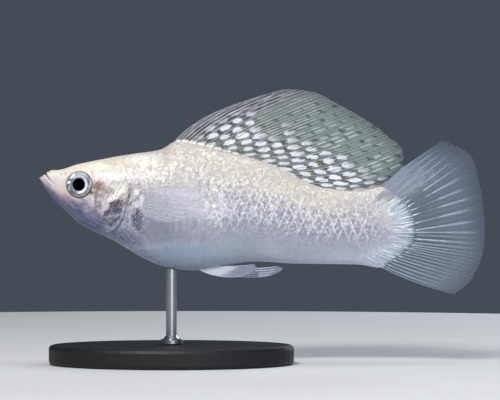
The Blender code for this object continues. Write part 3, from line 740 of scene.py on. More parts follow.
def make_eye_finish():
    """Silver iris in rings, darker in front, brightest behind and below, with painted highlights as glints in front.
    """
    material, tree, shader = new_finish("silver_iris", {"Coat Weight": 0.1, "Coat Roughness": 0.1})
    place = fish_place(tree)
    x, z = side_view(tree, place)
    dx, dz = x - PUPIL_X, z - PUPIL_Z
    out = (dx * dx + dz * dz) ** 0.5
    turned = tree.point(dx / (out + 0.3), dz / (out + 0.3), out * 1.2)
    streaks = tree.noise(turned, 2.2, detail=3, roughness=0.7)
    fray = streaks - 0.5
    ring = (out + fray * 0.3) / 2.8
    rings = (
        (0.0, srgb(20, 22, 26)),
        (0.43, srgb(34, 38, 46)),
        (0.47, srgb(150, 156, 170)),
        (0.53, srgb(116, 124, 142)),
        (0.6, srgb(150, 158, 176)),
        (0.66, srgb(160, 166, 182)),
        (0.7, srgb(78, 80, 90)),
        (0.735, srgb(66, 66, 78)),
        (0.78, srgb(124, 126, 134)),
        (0.82, srgb(154, 156, 162)),
        (0.865, srgb(98, 98, 106)),
        (0.91, srgb(142, 142, 146)),
        (0.96, srgb(86, 82, 90)),
        (1.0, srgb(58, 52, 60)),
    )
    colour = tree.add("ShaderNodeValToRGB", {"stops": rings}, {0: ring})
    # The ring round the pupil, brighter behind and darker in front
    inner = tree.ramp(0.46, 0.5, ring) * tree.fall(0.62, 0.68, ring)
    bright = tree.ramp(0.0, 1.0, dx * 0.9 - dz * 0.5) * inner
    colour = tree.colours(bright * 0.9, colour, srgb(238, 240, 250))
    front = tree.ramp(0.2, 1.2, dz * -0.5 - dx) * inner
    colour = tree.shade(colour, front * 0.7, srgb(150, 152, 172))
    # The rest: paler above, mauve in front, olive behind, with silver lines and dark gaps
    body = tree.fall(0.9, 0.94, ring)
    above = tree.ramp(0.4, 1.5, dz - abs(dx + 0.2) * 0.5) * body * tree.ramp(0.5, 0.6, ring)
    colour = tree.colours(above * 0.6, colour, srgb(190, 192, 198))
    mauve = tree.ramp(0.3, 1.6, (dx + dz * 0.4) * -1) * tree.ramp(0.5, 0.6, ring) * body
    colour = tree.shade(colour, mauve * 0.6, srgb(176, 164, 184))
    olive = tree.ramp(0.8, 1.8, dx * 0.6 - dz) * tree.ramp(0.7, 0.78, ring) * body
    colour = tree.colours(olive * 0.5, colour, srgb(156, 156, 146))
    lines = tree.ramp(0.56, 0.62, streaks) * tree.ramp(0.5, 0.6, ring) * body
    colour = tree.colours(lines * 0.6, colour, srgb(216, 220, 230))
    dark = tree.fall(0.38, 0.46, streaks) * tree.ramp(0.6, 0.68, ring)
    colour = tree.shade(colour, dark * 0.8, srgb(112, 112, 128))
    # The rim and its glints, which are painted highlights
    rear = patch(tree, place, fray * 0.6, (11.0, -1.0), (0.24, 1.3), 8, 0.5)
    colour = tree.colours(rear * 0.8, colour, srgb(226, 226, 222))
    soft_edge = tree.ramp(0.94, 0.98, ring) * tree.ramp(-0.6, 1.2, dx * 0.6 + dz)
    colour = tree.colours(soft_edge * 0.8, colour, srgb(150, 142, 146))
    # Painted highlights: two white glints in front
    for centre, radii, turn in (((6.4, -0.95), (0.45, 0.3), 20), ((7.2, 0.35), (0.75, 0.2), 50)):
        spot = patch(tree, place, fray * 0.6, centre, radii, turn, 0.5)
        colour = tree.colours(spot, colour, srgb(250, 250, 250))
    links = {
        "Base Color": colour,
        "Roughness": 0.35 + streaks * 0.2,
        "Metallic": bright * 0.1,
        "Normal": tree.bump(0.4, 0.05, streaks),
    }
    connect(tree, shader, links)
    return material


def make_pupil_finish():
    """Deep black."""
    material, tree, shader = new_finish("black_pupil", {"Roughness": 0.8, "Specular IOR Level": 0.0})
    place = fish_place(tree)
    depth = tree.noise(place, 2.0)
    connect(tree, shader, {"Base Color": tree.colours(depth, srgb(0, 0, 1), srgb(3, 3, 5))})
    return material


def make_cornea_finish():
    """Clear but for the gloss towards its rim."""
    material, tree, shader = new_finish(
        "clear_cornea", {"Base Color": (0.05, 0.05, 0.06, 1), "Roughness": 0.05, "IOR": 1.38}
    )
    output = material.node_tree.nodes["Material Output"]
    facing = tree.add("ShaderNodeLayerWeight", None, {"Blend": 0.3}, output=1)
    clear = tree.add("ShaderNodeBsdfTransparent")
    gloss = tree.ramp(0.3, 1.0, facing) * 0.3
    mixed = tree.add("ShaderNodeMixShader", None, {0: gloss, 1: clear, 2: Value(tree, shader.outputs[0])})
    tree.owner.links.new(mixed.socket, output.inputs["Surface"])
    return material


def fin_streaks(tree, ray, reach, across=3.2, lengthwise=0.2, detail=3):
    """Fine streaks that run along the rays."""
    return tree.noise(tree.point(ray * across, reach * lengthwise), 1.0, detail=detail, roughness=0.6)


def fin_place(tree):
    """The ray number and the millimetres from the root at a point of a fin."""
    return tree.attribute("ray"), tree.attribute("reach")


def make_dorsal_finish():
    """Grey-green and clear, with rows of silver spots and dark marks between them over the lower half."""
    material, tree, shader = new_finish("sail_membrane", {"Coat Weight": 0.03, "Coat Roughness": 0.3})
    place = fish_place(tree)
    ray, reach = fin_place(tree)
    out = tree.attribute("out")
    waver = tree.noise(place, 0.9, detail=3)
    ragged = tree.noise(place, 2.2, detail=3, roughness=0.7) - 0.5
    streaks = fin_streaks(tree, ray, reach, across=4.0, lengthwise=0.3)
    broad = fin_streaks(tree, ray, reach, across=2.0, lengthwise=0.16, detail=2)
    # Cells: the gaps between rays one way, and rows across them the other way
    cell = ray.floor()
    across = ray.fract() - 0.5
    chance = tree.chance(cell)
    row = (reach + (waver - 0.5) * 1.8) / 3.0 - (cell * 0.5).fract() - (chance - 0.5) * 0.35
    step = row.fract() - 0.5
    spot = row.floor() * 7.3 + cell * 3.1
    luck = tree.chance(spot)
    sheath = tree.ramp(1.9, 3.3, ray + ragged)
    lower = tree.fall(8.5, 13.0, reach + (luck - 0.5) * 5 - tree.ramp(9, 16, ray) * 2)
    low_edge = tree.ramp(0.3, 2.2, reach + ragged * 3)
    wobble = ragged * 1.5 + (streaks - 0.5) * 1.6
    # A silver spot in each cell of the lower half
    size = 0.76 + luck * 0.42
    lens = abs(step / 0.42) ** 1.5 + abs(across / 0.42) ** 1.5
    silver = tree.fall(0.75, 1.1, lens / size + wobble) * sheath * lower
    silver = silver * (low_edge * 0.5 + 0.5) * (0.75 + luck * 0.25)
    # Dark marks between the spots, and freckles along the root
    gap = 0.5 - abs(step)
    blot = ((gap / 0.24) ** 2 + (across / 0.5) ** 2) ** 0.5 + wobble * 0.7
    ink = tree.fall(0.6, 1.1, blot) * sheath * lower * tree.ramp(-0.3, 0.4, luck)
    speck = tree.fall(0.3, 0.75, blot) * (1 - lower) * tree.ramp(0.1, 0.25, luck) * tree.ramp(4, 6, ray)
    freckle = tree.ramp(0.03, 0.08, ragged) * tree.fall(1.6, 3.6, reach) * tree.ramp(0.8, 1.6, ray)
    ink = ink.most(speck * 0.9).most(freckle * (1 - silver) * 0.85)
    # Short pale dashes above, two to a gap
    twin = ray * 2 + 0.25
    twin_cell = twin.floor()
    own = tree.chance(spot * 1.7 + twin_cell * 2.3)
    side_step = twin.fract() - 0.5 + (own - 0.5) * 0.3
    dash = tree.fall(0.1, 0.32, abs(side_step)) * tree.fall(0.22, 0.42, abs(step + (own - 0.5) * 0.25))
    dash = dash * (1 - lower) * tree.fall(19, 24, reach) * tree.ramp(0.25, 0.5, own) * tree.ramp(5, 11, ray)
    # Grooves beside the front rays, and fine lines everywhere else
    front = tree.fall(2.7, 5.4, ray + ragged * 0.6 + tree.ramp(12, 22, reach) * 0.3)
    bundle = abs((ray * 2.1).fract() - 0.5) * 2
    groove = tree.ramp(0.28, 0.6, bundle + (broad - 0.5) * 0.8) * front
    fine = abs((ray * 3 + (broad - 0.5)).fract() - 0.5) * 2
    far = tree.ramp(11, 18, reach - tree.fall(5, 10, ray) * 9)
    lined = (tree.ramp(0.42, 0.6, broad) * 0.6 + 0.4) * (1 - far * 0.6)
    light = tree.fall(0.12, 0.42, fine) * lined
    deep = tree.ramp(0.6, 0.88, fine) * lined
    # The colours, one over the other
    colour = tree.colours(tree.ramp(2, 15, reach), srgb(130, 136, 126), srgb(134, 150, 146))
    colour = tree.colours(light * 0.9, colour, srgb(192, 198, 198))
    colour = tree.colours(deep * 0.9, colour, srgb(70, 78, 68))
    colour = tree.colours(front * 0.9, colour, srgb(152, 153, 160))
    colour = tree.colours(groove * 0.98, colour, srgb(44, 44, 56))
    colour = tree.colours(front * tree.ramp(0.54, 0.62, streaks) * 0.5, colour, srgb(216, 216, 222))
    colour = tree.colours(dash * 0.75, colour, srgb(196, 206, 210))
    colour = tree.colours(ink * 0.9, colour, srgb(48, 56, 40))
    colour = tree.colours(silver, colour, srgb(226, 228, 242))
    thread = tree.fall(0.36, 0.46, streaks) * silver
    colour = tree.shade(colour, thread * 0.8, srgb(140, 144, 150))
    white = tree.fall(0.3, 1.1, reach + ragged * 2).most(tree.ramp(17.2, 17.8, ray) * 0.9)
    colour = tree.colours(white, colour, srgb(240, 238, 236))
    thin = tree.fall(6, 18, reach)
    alpha = 0.5 + thin * 0.14 + (light + deep) * 0.14 + front * 0.2 + ink * 0.34 + dash * 0.24
    alpha = (alpha + silver * 0.6 + white * 0.6) * (1 - tree.ramp(0.84, 1.0, out) * 0.55)
    links = {
        "Base Color": colour,
        "Alpha": alpha.least(0.98),
        "Roughness": 0.5 - silver * 0.1,
        "Normal": tree.bump(0.15, 0.08, streaks),
    }
    connect(tree, shader, links)
    return material


def make_tail_finish():
    """Clear, darker near the root, and slate-grey with dark grooves beside the rays in the lower half."""
    material, tree, shader = new_finish("tail_membrane", {"Coat Weight": 0.03, "Coat Roughness": 0.3})
    place = fish_place(tree)
    ray, reach = fin_place(tree)
    out = tree.attribute("out")
    streaks = fin_streaks(tree, ray, reach, across=1.4, lengthwise=0.1, detail=2)
    cloud = tree.noise(place, 0.6, detail=3)
    fray, drift = streaks - 0.5, cloud - 0.5
    # The lower and the top part, and the parts near the root
    across = abs(ray.fract() - 0.5)
    low = tree.ramp(10.0, 13.0, ray + drift * 2)
    top = tree.fall(3.0, 5.5, ray + drift * 3)
    near = tree.fall(2, 11, reach + drift * 3)
    half_way = tree.fall(3, 15, reach + drift * 3)
    # Dark grooves beside the rays and pale stripes between
    between_rays = abs((ray * 2).fract() - 0.5) + fray * 0.3
    groove = tree.fall(0.1, 0.3, between_rays)
    stripe = tree.ramp(0.2, 0.42, between_rays)
    # A bright patch between the rays of the middle, and hairlines at the top
    glow = tree.ramp(0.3, 0.5, across) * tree.ramp(4, 8, reach + fray * 6)
    glow = glow * tree.fall(9, 13, reach + fray * 6) * (1 - low)
    hair = abs((ray * 3).fract() - 0.5) * 2
    hair = tree.ramp(0.4, 0.9, hair + fray) * top * tree.fall(4, 11, reach + drift * 5)
    colour = tree.colours(low, srgb(128, 142, 166), srgb(122, 134, 152))
    colour = tree.colours(near * 0.85, colour, tree.colours(top, srgb(96, 108, 120), srgb(138, 146, 160)))
    colour = tree.colours(stripe * half_way * (low * 0.5 + 0.1), colour, srgb(172, 182, 198))
    colour = tree.colours(groove * half_way * (low * 0.6 + 0.15), colour, srgb(60, 70, 86))
    colour = tree.colours(glow * 0.6, colour, srgb(206, 220, 238))
    colour = tree.colours(hair * 0.5, colour, srgb(190, 204, 222))
    alpha = 0.24 + low * 0.16 + near * (0.34 + top * 0.12) + stripe * half_way * low * 0.14 + hair * 0.2 + glow * 0.22
    links = {
        "Base Color": colour,
        "Alpha": alpha * (1 - tree.ramp(0.7, 1.0, out) * 0.65),
        "Roughness": 0.5 + cloud * 0.1,
        "Normal": tree.bump(0.15, 0.05, streaks),
    }
    connect(tree, shader, links)
    return material


def make_tail_ray_finish():
    """Bluish white where the rays catch the light: at the root and, higher up, again before the middle."""
    material, tree, shader = new_finish("tail_rays", {"Coat Weight": 0.1, "Coat Roughness": 0.2})
    ray, reach = fin_place(tree)
    joints = (reach * 9).sine()
    mottle = fin_streaks(tree, ray, reach, across=1.4, lengthwise=0.5, detail=2) - 0.5
    wide = tree.ramp(8.0, 10.0, ray)
    start = tree.ramp(3.0, 6.0, reach + mottle * 5)
    low = tree.ramp(12.0, 14.5, ray)
    end = tree.fall(6.0, 10.5, reach + mottle * 6 + low * 2)
    lit = start.most(wide) * end
    top = tree.fall(3.0, 5.0, ray)
    root = tree.fall(0.3, 2.2, reach + mottle * 3) * (1 - top * 0.6)
    lit = lit * (1 - low * 0.6) * (1 - top * 0.4)
    lit = lit.most(root) * (0.65 + tree.ramp(-0.12, 0.1, mottle) * 0.35)
    faint = tree.fall(9, 15, reach)
    colour = tree.colours(lit, srgb(134, 148, 172), tree.colours(root, srgb(194, 208, 224), srgb(226, 238, 250)))
    colour = tree.colours(tree.ramp(0.5, 1.0, joints) * 0.12, colour, srgb(100, 112, 132))
    links = {
        "Base Color": colour,
        "Alpha": 0.04 + faint * 0.16 + lit * 0.58,
        "Roughness": 0.35 + mottle * 0.2,
        "Metallic": lit * 0.05,
    }
    connect(tree, shader, links)
    return material


def make_belly_finish():
    """Milky at the root, then clear with slate-blue streaks between the rays."""
    material, tree, shader = new_finish("belly_membrane", {"Coat Weight": 0.2, "Coat Roughness": 0.12})
    place = fish_place(tree)
    reach = tree.attribute("reach")
    cloud = tree.noise(place, 1.1, detail=4)
    milky = tree.fall(3.6, 6.2, reach + (cloud - 0.5) * 2)
    colour = tree.colours(cloud, srgb(112, 118, 144), srgb(160, 166, 190))
    colour = tree.colours(milky, colour, srgb(192, 194, 208))
    links = {
        "Base Color": colour,
        "Alpha": 0.55 + milky * 0.42,
        "Roughness": 0.4 - milky * 0.1,
        "Normal": tree.bump(0.3, 0.06, cloud),
    }
    connect(tree, shader, links)
    return material


def make_clear_membrane_finish(name, pale, alpha_root, alpha_tip, length):
    """Nearly clear skin between rays, milky near its root."""
    material, tree, shader = new_finish(name, {"Coat Weight": 0.25, "Coat Roughness": 0.1})
    place = fish_place(tree)
    ray, reach = fin_place(tree)
    across = abs(ray.fract() - 0.5)
    line = tree.ramp(0.3, 0.5, across)
    cloud = tree.noise(place, 0.9, detail=4)
    out = tree.ramp(0, length, reach)
    alpha = alpha_root + (alpha_tip - alpha_root) * out + line * 0.06 + (cloud - 0.5) * 0.08
    links = {
        "Base Color": tree.colours(out * 0.6 + cloud * 0.3, pale, srgb(150, 162, 178)),
        "Alpha": alpha,
        "Roughness": 0.35 + cloud * 0.15,
        "Normal": tree.bump(0.3, 0.05, cloud),
    }
    connect(tree, shader, links)
    return material


def make_ray_finish(name, root_colour, tip_colour, length, alpha_root, alpha_tip):
    """Bony rays in short joints, bright at the root and fading outwards."""
    material, tree, shader = new_finish(name, {"Coat Weight": 0.35, "Coat Roughness": 0.08})
    place = fish_place(tree)
    reach = tree.attribute("reach")
    joints = (reach * 7).sine()
    out = tree.ramp(0, length, reach)
    mottle = tree.noise(place, 1.4, detail=3)
    colour = tree.colours(out, root_colour, tip_colour)
    colour = tree.colours(tree.ramp(0.6, 1.0, joints) * 0.25, colour, srgb(96, 104, 120))
    links = {
        "Base Color": tree.colours(mottle * 0.3, colour, srgb(200, 206, 220)),
        "Alpha": alpha_root + (alpha_tip - alpha_root) * out,
        "Roughness": 0.28 + mottle * 0.2,
        "Metallic": (1 - out) * 0.15,
    }
    connect(tree, shader, links)
    return material


def make_base_finish():
    """Satin black, with a fine orange-peel."""
    material, tree, shader = new_finish("satin_black_base", {"Specular IOR Level": 0.3})
    place = fish_place(tree)
    peel = tree.noise(place, 2.2, detail=3)
    fine = tree.noise(place, 12, detail=2)
    links = {
        "Base Color": tree.colours(peel, srgb(22, 23, 25), srgb(30, 31, 34)),
        "Roughness": 0.42 + peel * 0.14 + fine * 0.05,
        "Normal": tree.bump(0.2, 0.05, peel + fine * 0.3),
    }
    connect(tree, shader, links)
    return material


def make_rod_finish():
    """Steel, brushed round the rod."""
    material, tree, shader = new_finish("brushed_rod", {"Metallic": 1.0})
    coordinates = tree.add("ShaderNodeTexCoord", output=3)
    brushed = tree.add("ShaderNodeMapping", None, {"Vector": coordinates, "Scale": (200, 200, 9000)})
    lines = tree.noise(brushed, 1.0, detail=4)
    links = {
        "Base Color": tree.colours(lines, srgb(150, 152, 156), srgb(196, 198, 202)),
        "Roughness": 0.22 + lines * 0.22,
        "Normal": tree.bump(0.2, 0.03, lines),
    }
    connect(tree, shader, links)
    return material


def make_floor_finish():
    """Pale and matt, with a faint grain."""
    material, tree, shader = new_finish("pale_floor", {"Roughness": 0.7})
    coordinates = tree.add("ShaderNodeTexCoord", output=3)
    grain = tree.noise(coordinates, 60, detail=4)
    connect(tree, shader, {"Base Color": tree.colours(grain, srgb(206, 208, 212), srgb(214, 216, 219))})
    return material


def add_object(name, data):
    obj = bpy.data.objects.new(name, data)
    bpy.context.scene.collection.objects.link(obj)
    return obj


def new_mesh(name, points, edges=(), faces=()):
    """A mesh from points in the fish's own millimetres."""
    mesh = bpy.data.meshes.new(name)
    mesh.from_pydata([tuple(p) for p in to_model(points)], edges, faces)
    return mesh


def put_numbers(mesh, numbers):
    """One number a point under each name."""
    for key, values in numbers.items():
        layer = mesh.attributes.new(key, "FLOAT", "POINT")
        layer.data.foreach_set("value", np.asarray(values, np.float32).ravel())


def add_piece(name, points, faces, finish, numbers=None):
    """A closed smooth piece, with one number a point under each name."""
    mesh = new_mesh(name, points, (), faces)
    put_numbers(mesh, numbers or {})
    mesh.materials.append(finish)
    mesh.shade_smooth()
    piece = add_object(name, mesh)
    face_outwards(piece)
    return piece


def lofted_faces(rings, around):
    """Faces between the rings of points of a tube, and to its two poles, the points after the rings."""
    faces = []
    for i in range(rings - 1):
        for k in range(around):
            a, b = i * around + k, i * around + (k + 1) % around
            faces.append((a, b, b + around, a + around))
    last, pole = (rings - 1) * around, rings * around
    for k in range(around):
        after = (k + 1) % around
        faces.append((k, after, pole))
        faces.append((last + k, last + after, pole + 1))
    return faces


def face_outwards(obj):
    """Turns the faces of a closed mesh outwards."""
    shape = bmesh.new()
    shape.from_mesh(obj.data)
    bmesh.ops.recalc_face_normals(shape, faces=shape.faces)
    if shape.calc_volume(signed=True) < 0:
        bmesh.ops.reverse_faces(shape, faces=shape.faces)
    shape.to_mesh(obj.data)
    shape.free()


def new_geometry_tree(name, inputs):
    """A geometry tree with named inputs, its sockets by name, and a call that ends it."""
    group = bpy.data.node_groups.new(name, "GeometryNodeTree")
    group.interface.new_socket("Geometry", in_out="INPUT", socket_type="NodeSocketGeometry")
    for label, kind in inputs.items():
        group.interface.new_socket(label, in_out="INPUT", socket_type=kind)
    group.interface.new_socket("Geometry", in_out="OUTPUT", socket_type="NodeSocketGeometry")
    tree = Tree(group)
    start = group.nodes.new("NodeGroupInput")
    end = group.nodes.new("NodeGroupOutput")
    sockets = {socket.name: Value(tree, socket) for socket in start.outputs if socket.name}

    def finish(geometry):
        realized = tree.add("GeometryNodeRealizeInstances", None, {0: geometry})
        smooth = tree.add("GeometryNodeSetShadeSmooth", None, {0: realized})
        finished = tree.add("GeometryNodeSetMaterial", None, {0: smooth, "Material": sockets["Finish"]})
        group.links.new(finished.socket, end.inputs[0])

    return tree, sockets, finish


def grow(seed_object, group, settings, name):
    """Runs a geometry tree on an object and keeps only the plain mesh that it makes."""
    modifier = seed_object.modifiers.new(group.name, "NODES")
    modifier.node_group = group
    for socket in group.interface.items_tree:
        if socket.name in settings:
            modifier[socket.identifier] = settings[socket.name]
    evaluated = seed_object.evaluated_get(bpy.context.evaluated_depsgraph_get())
    mesh = bpy.data.meshes.new_from_object(evaluated)
    mesh.name = name
    seed_object.modifiers.remove(modifier)
    bpy.data.objects.remove(seed_object)
    return add_object(name, mesh)


def hump(value, width, middle=0.0):
    """1 at the middle, and less the further the value is from it."""
    return np.exp(-(((value - middle) / width) ** 2))


def head_relief(x, z, y):
    """How far the skin stands out, and how much painted shade falls in its creases and pits, over the head's
    features.
    """
    swell = np.zeros(x.shape)
    # Painted shade that falls in the mouth's cleft, the nostrils, round the eye's socket, in the gap behind the gill
    # cover and along the furrows
    seam = np.zeros(x.shape)
    sideways = smooth_step(0.15, 0.6, np.abs(y))
    # The mouth and its lips
    away, side, share = line_distance(x, z, MOUTH_LINE)
    fade = 1 - smooth_step(0.3, 0.85, share)
    swell += LIP_SWELL * hump(away, LIP_SPREAD, LIP_OFFSET) * sideways * (1 - share * 0.6)
    cleft = hump(away, MOUTH_WIDTH) * fade
    swell -= MOUTH_DEPTH * cleft * sideways
    seam = np.maximum(seam, cleft)
    # Nostrils with a low rim
    for nx, nz, radius in NOSTRILS:
        away = np.hypot(x - nx, (z - nz) * 0.8) / radius
        pit = np.exp(-(away**4)) * sideways
        swell += NOSTRIL_RIM * hump(away, 0.4, 1.35) * sideways - NOSTRIL_DEPTH * pit
        seam = np.maximum(seam, pit * 0.45)
    # The eye's socket
    away = np.hypot(x - EYE_X, z - EYE_Z) / EYE_RADIUS
    swell += SOCKET_RIM * hump(away, 0.08, 1.1) * sideways
    swell -= SOCKET_DEPTH * (1 - smooth_step(0.84, 1.02, away)) * sideways
    seam = np.maximum(seam, hump(away, 0.045, 1.0) * 0.9)
    # The gill cover stands up to its edge, with a shallow gap behind
    away, side, share = line_distance(x, z, GILL_EDGE)
    ends = smooth_step(0, 0.12, share) * (1 - smooth_step(0.86, 1.0, share))
    inside = side < 0
    raised = GILL_RISE * (1 - smooth_step(0, GILL_REACH, away)) * ends
    swell += np.where(inside, raised, -GILL_GAP * hump(away, 0.5) * ends)
    seam = np.maximum(seam, np.where(inside, 0, hump(away, 0.14) * ends * 0.7))
    for line, rise, width in FOLDS:
        away, side, share = line_distance(x, z, line)
        ends = smooth_step(0, 0.2, share) * (1 - smooth_step(0.8, 1.0, share))
        mark = hump(away, width) * ends
        swell += rise * mark
        if rise < 0:
            seam = np.maximum(seam, mark * 0.35)
    return swell, seam


def skin_stations():
    """Places of the skin's rings: closest at the mouth, close over the head and round the tail's end."""
    closing = np.sin(np.linspace(0, 1, END_RINGS + 1)[:-1] * math.pi / 2)
    return np.concatenate([*(np.arange(*span) for span in RING_SPANS), FLESH_LENGTH - STEM_END * (1 - closing)])


def make_skin(finish):
    """One skin from snout to tail, in place of the fish's flesh."""
    x = skin_stations()[:, None]
    angle = np.linspace(0, 2 * math.pi, RING_POINTS, endpoint=False)[None, :]
    points = ring_points(x, angle)
    normals = grid_normals(points)
    if (normals[100, RING_POINTS // 4] @ np.array((0, -1, 0))) < 0:
        normals = -normals
    swell, seam = head_relief(points[..., 0], points[..., 2], points[..., 1])
    points = points + normals * (swell - SKIN_DEPTH)[..., None]
    height = np.broadcast_to(np.cos(angle), points.shape[:2])
    flat = np.concatenate((points.reshape(-1, 3), points[[0, -1]].mean(axis=1)))
    numbers = {"height": np.append(height.ravel(), (0, 0)), "seam": np.append(seam.ravel(), (0, 0))}
    skin = add_piece("fish_skin", flat, lofted_faces(len(x), RING_POINTS), finish, numbers)
    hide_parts("head", "lower_jaw", "gill_cover_left", "gill_cover_right", "trunk", "tail_stem")
    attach(skin, "root")
    return skin


def make_scale_plate():
    """One thin scale, unit-sized and flat, with its height above the skin kept as a number a point."""
    rings, spokes = SCALE_RINGS, SCALE_SPOKES
    places = [(0.0, 0.0)]
    for radius in rings:
        for k in range(spokes):
            angle = 2 * math.pi * k / spokes
            ahead, across = math.cos(angle), math.sin(angle)
            ahead = 1 - SCALE_POINT * abs(across) if ahead > 0 else ahead * SCALE_ROOT_SHARE
            places.append((radius * ahead, radius * across))
    top = len(places)
    rim = 1 + (len(rings) - 1) * spokes
    points = [(p, q, 0) for p, q in places + places[:1] + places[rim:]]
    faces = []
    for k in range(spokes):
        after = (k + 1) % spokes
        faces.append((0, 1 + k, 1 + after))
        for ring in range(len(rings) - 1):
            a, b = 1 + ring * spokes + k, 1 + ring * spokes + after
            faces.append((a, a + spokes, b + spokes, b))
        a, b = rim + k, rim + after
        faces.append((a, top + 1 + k, top + 1 + after, b))
        faces.append((top, top + 1 + after, top + 1 + k))
    out = np.array([0] + [radius for radius in rings for k in range(spokes)])
    p, q = np.array(places).T
    height = SCALE_LIFT * (p + SCALE_ROOT_SHARE) / (1 + SCALE_ROOT_SHARE)
    height += SCALE_BULGE * (1 - out**2) - SCALE_SINK
    below = np.append(height[:1], height[rim:]) - SCALE_THICKNESS
    numbers = {"lift": np.concatenate((height, np.maximum(below, SCALE_LOWEST)))}
    for key, values in (("rim", out * smooth_step(-0.5, 0.1, p)), ("ahead", p), ("across", q)):
        numbers[key] = np.concatenate((values, values[:1], values[rim:]))
    mesh = bpy.data.meshes.new("scale_plate")
    mesh.from_pydata(points, [], faces)
    put_numbers(mesh, numbers)
    for edge in mesh.edges:
        edge.use_edge_sharp = min(edge.vertices) >= rim
    return add_object("scale_plate", mesh)


def build_scale_tree():
    """Scales stand on the points of a mesh, lie along the body and are pressed onto the skin."""
    tree, sockets, finish = new_geometry_tree(
        "scale_coat",
        {
            "Plate": "NodeSocketObject",
            "Skin": "NodeSocketObject",
            "Length": "NodeSocketFloat",
            "Width": "NodeSocketFloat",
            "Finish": "NodeSocketMaterial",
        },
    )

    def named(kind, name):
        return tree.add("GeometryNodeInputNamedAttribute", {"data_type": kind}, {"Name": name})

    plate = tree.add("GeometryNodeObjectInfo", None, {"Object": sockets["Plate"]}, output=4)
    skin = tree.add("GeometryNodeObjectInfo", None, {"Object": sockets["Skin"]}, output=4)
    turn = tree.add(
        "FunctionNodeAxesToRotation",
        {"primary_axis": "Z", "secondary_axis": "X"},
        {0: named("FLOAT_VECTOR", "facing"), 1: named("FLOAT_VECTOR", "lie")},
    )
    size = named("FLOAT", "size")
    shape = tree.point(size * sockets["Length"], size * sockets["Width"], 1.0)
    planted = tree.add(
        "GeometryNodeInstanceOnPoints",
        None,
        {"Points": sockets["Geometry"], "Instance": plate, "Rotation": turn, "Scale": shape},
    )
    loose = tree.add("GeometryNodeRealizeInstances", None, {0: planted})
    here = tree.add("GeometryNodeInputPosition")
    lift = named("FLOAT", "lift") * named("FLOAT", "rise") * MM

    def on_skin(kind, value):
        return tree.add(
            "GeometryNodeSampleNearestSurface", {"data_type": kind}, {"Mesh": skin, "Value": value, 3: here}
        )

    ground = on_skin("FLOAT_VECTOR", here)
    outwards = on_skin("FLOAT_VECTOR", tree.add("GeometryNodeInputNormal"))
    raised = tree.add("ShaderNodeVectorMath", {"operation": "SCALE"}, {0: outwards, "Scale": lift})
    pressed = tree.add("ShaderNodeVectorMath", {"operation": "ADD"}, {0: ground, 1: raised})
    coloured = tree.add(
        "GeometryNodeStoreNamedAttribute",
        {"data_type": "FLOAT", "domain": "POINT"},
        {"Geometry": loose, "Name": "height", "Value": on_skin("FLOAT", named("FLOAT", "height"))},
    )
    finish(tree.add("GeometryNodeSetPosition", None, {"Geometry": coloured, "Position": pressed}))
    return tree.owner


def arc_table(x):
    """For rings at x: angles, their arc lengths from the body's midline, downwards negative."""
    angle = np.linspace(0, math.pi, 241)[None, :]
    points = ring_points(x[:, None], angle)
    steps = np.linalg.norm(np.diff(points, axis=1), axis=-1)
    lengths = np.concatenate((np.zeros((len(x), 1)), np.cumsum(steps, axis=1)), axis=1)
    middle = lengths[:, 120][:, None]
    return angle[0], middle - lengths


def scale_pose(x, angle):
    """A scale's place on the left side, the way it faces and the way it lies."""
    small = 0.02
    point = ring_points(np.array(x), np.array(angle))
    ahead = ring_points(np.array(x + small), np.array(angle)) - point
    down = ring_points(np.array(x), np.array(angle + small)) - point
    facing = np.cross(ahead, down)
    facing /= np.linalg.norm(facing)
    if facing[1] > 0:
        facing = -facing
    lie = np.array((1.0, 0.0, 0.0)) - facing * facing[0]
    return point, facing, lie / np.linalg.norm(lie)


def scale_roots(side):
    """Roots of one side's scales: their place, facing, lie, size and rise."""
    rng = np.random.default_rng(SCALE_SEED + side)
    columns = np.arange(8.0, FLESH_LENGTH, SCALE_PITCH / 2)
    angles, arcs = arc_table(columns)
    mirror = np.array((1, -side, 1))
    roots = []
    for row in range(-SCALE_ROWS, SCALE_ROWS + 1):
        for column, x in enumerate(columns):
            if (column + row) % 2:
                continue
            arc = row * SCALE_ROW
            if not arcs[column][-1] + SCALE_MARGINS[0] < arc < arcs[column][0] - SCALE_MARGINS[1]:
                continue
            angle = np.interp(-arc, -arcs[column], angles)
            point, facing, lie = scale_pose(x, angle)
            z = point[2]
            if x < curve(SHOULDER, z) or x > SCALE_END - abs(z - STEM_LEVEL) * 0.32:
                continue
            size = 1 - 0.35 * smooth_step(66, 75, x) - 0.12 * (1 - smooth_step(14, 26, x))
            size *= rng.uniform(0.96, 1.04)
            level = abs(math.cos(angle) - 0.06)
            rise = 0.25 + 0.75 * smooth_step(20, 44, x) * (1 - smooth_step(0.35, 0.7, level))
            rise *= 1 - 0.7 * smooth_step(66, 71, x)
            roots.append((point * mirror, facing * mirror, lie * mirror, size, rise))
    return roots, rng


def make_scales(plate, skin, tree, finish):
    """Both sides' coats of scales. Each has its own patch of texture at its root's place."""
    for side, name in ((-1, "scales_left"), (1, "scales_right")):
        roots, rng = scale_roots(side)
        places = np.array([r[0] for r in roots])
        mesh = new_mesh(name, places)
        vectors = {"facing": [r[1] for r in roots], "lie": [r[2] for r in roots]}
        numbers = {
            "size": [r[3] for r in roots],
            "rise": [r[4] for r in roots],
            "tint": rng.random(len(roots)),
            "root_u": places[:, 0] / 80,
            "root_v": 0.5 + places[:, 2] / 60,
        }
        for key, values in vectors.items():
            layer = mesh.attributes.new(key, "FLOAT_VECTOR", "POINT")
            layer.data.foreach_set("vector", np.array(values, np.float32).ravel())
        put_numbers(mesh, numbers)
        settings = {
            "Plate": plate, "Skin": skin, "Length": SCALE_LENGTH * MM, "Width": SCALE_WIDTH * MM, "Finish": finish,
        }
        coat = grow(add_object(name + "_roots", mesh), tree, settings, name)
        add_patches(coat.data)
        face_outwards(coat)
        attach(coat, "root")
    bpy.data.objects.remove(plate)


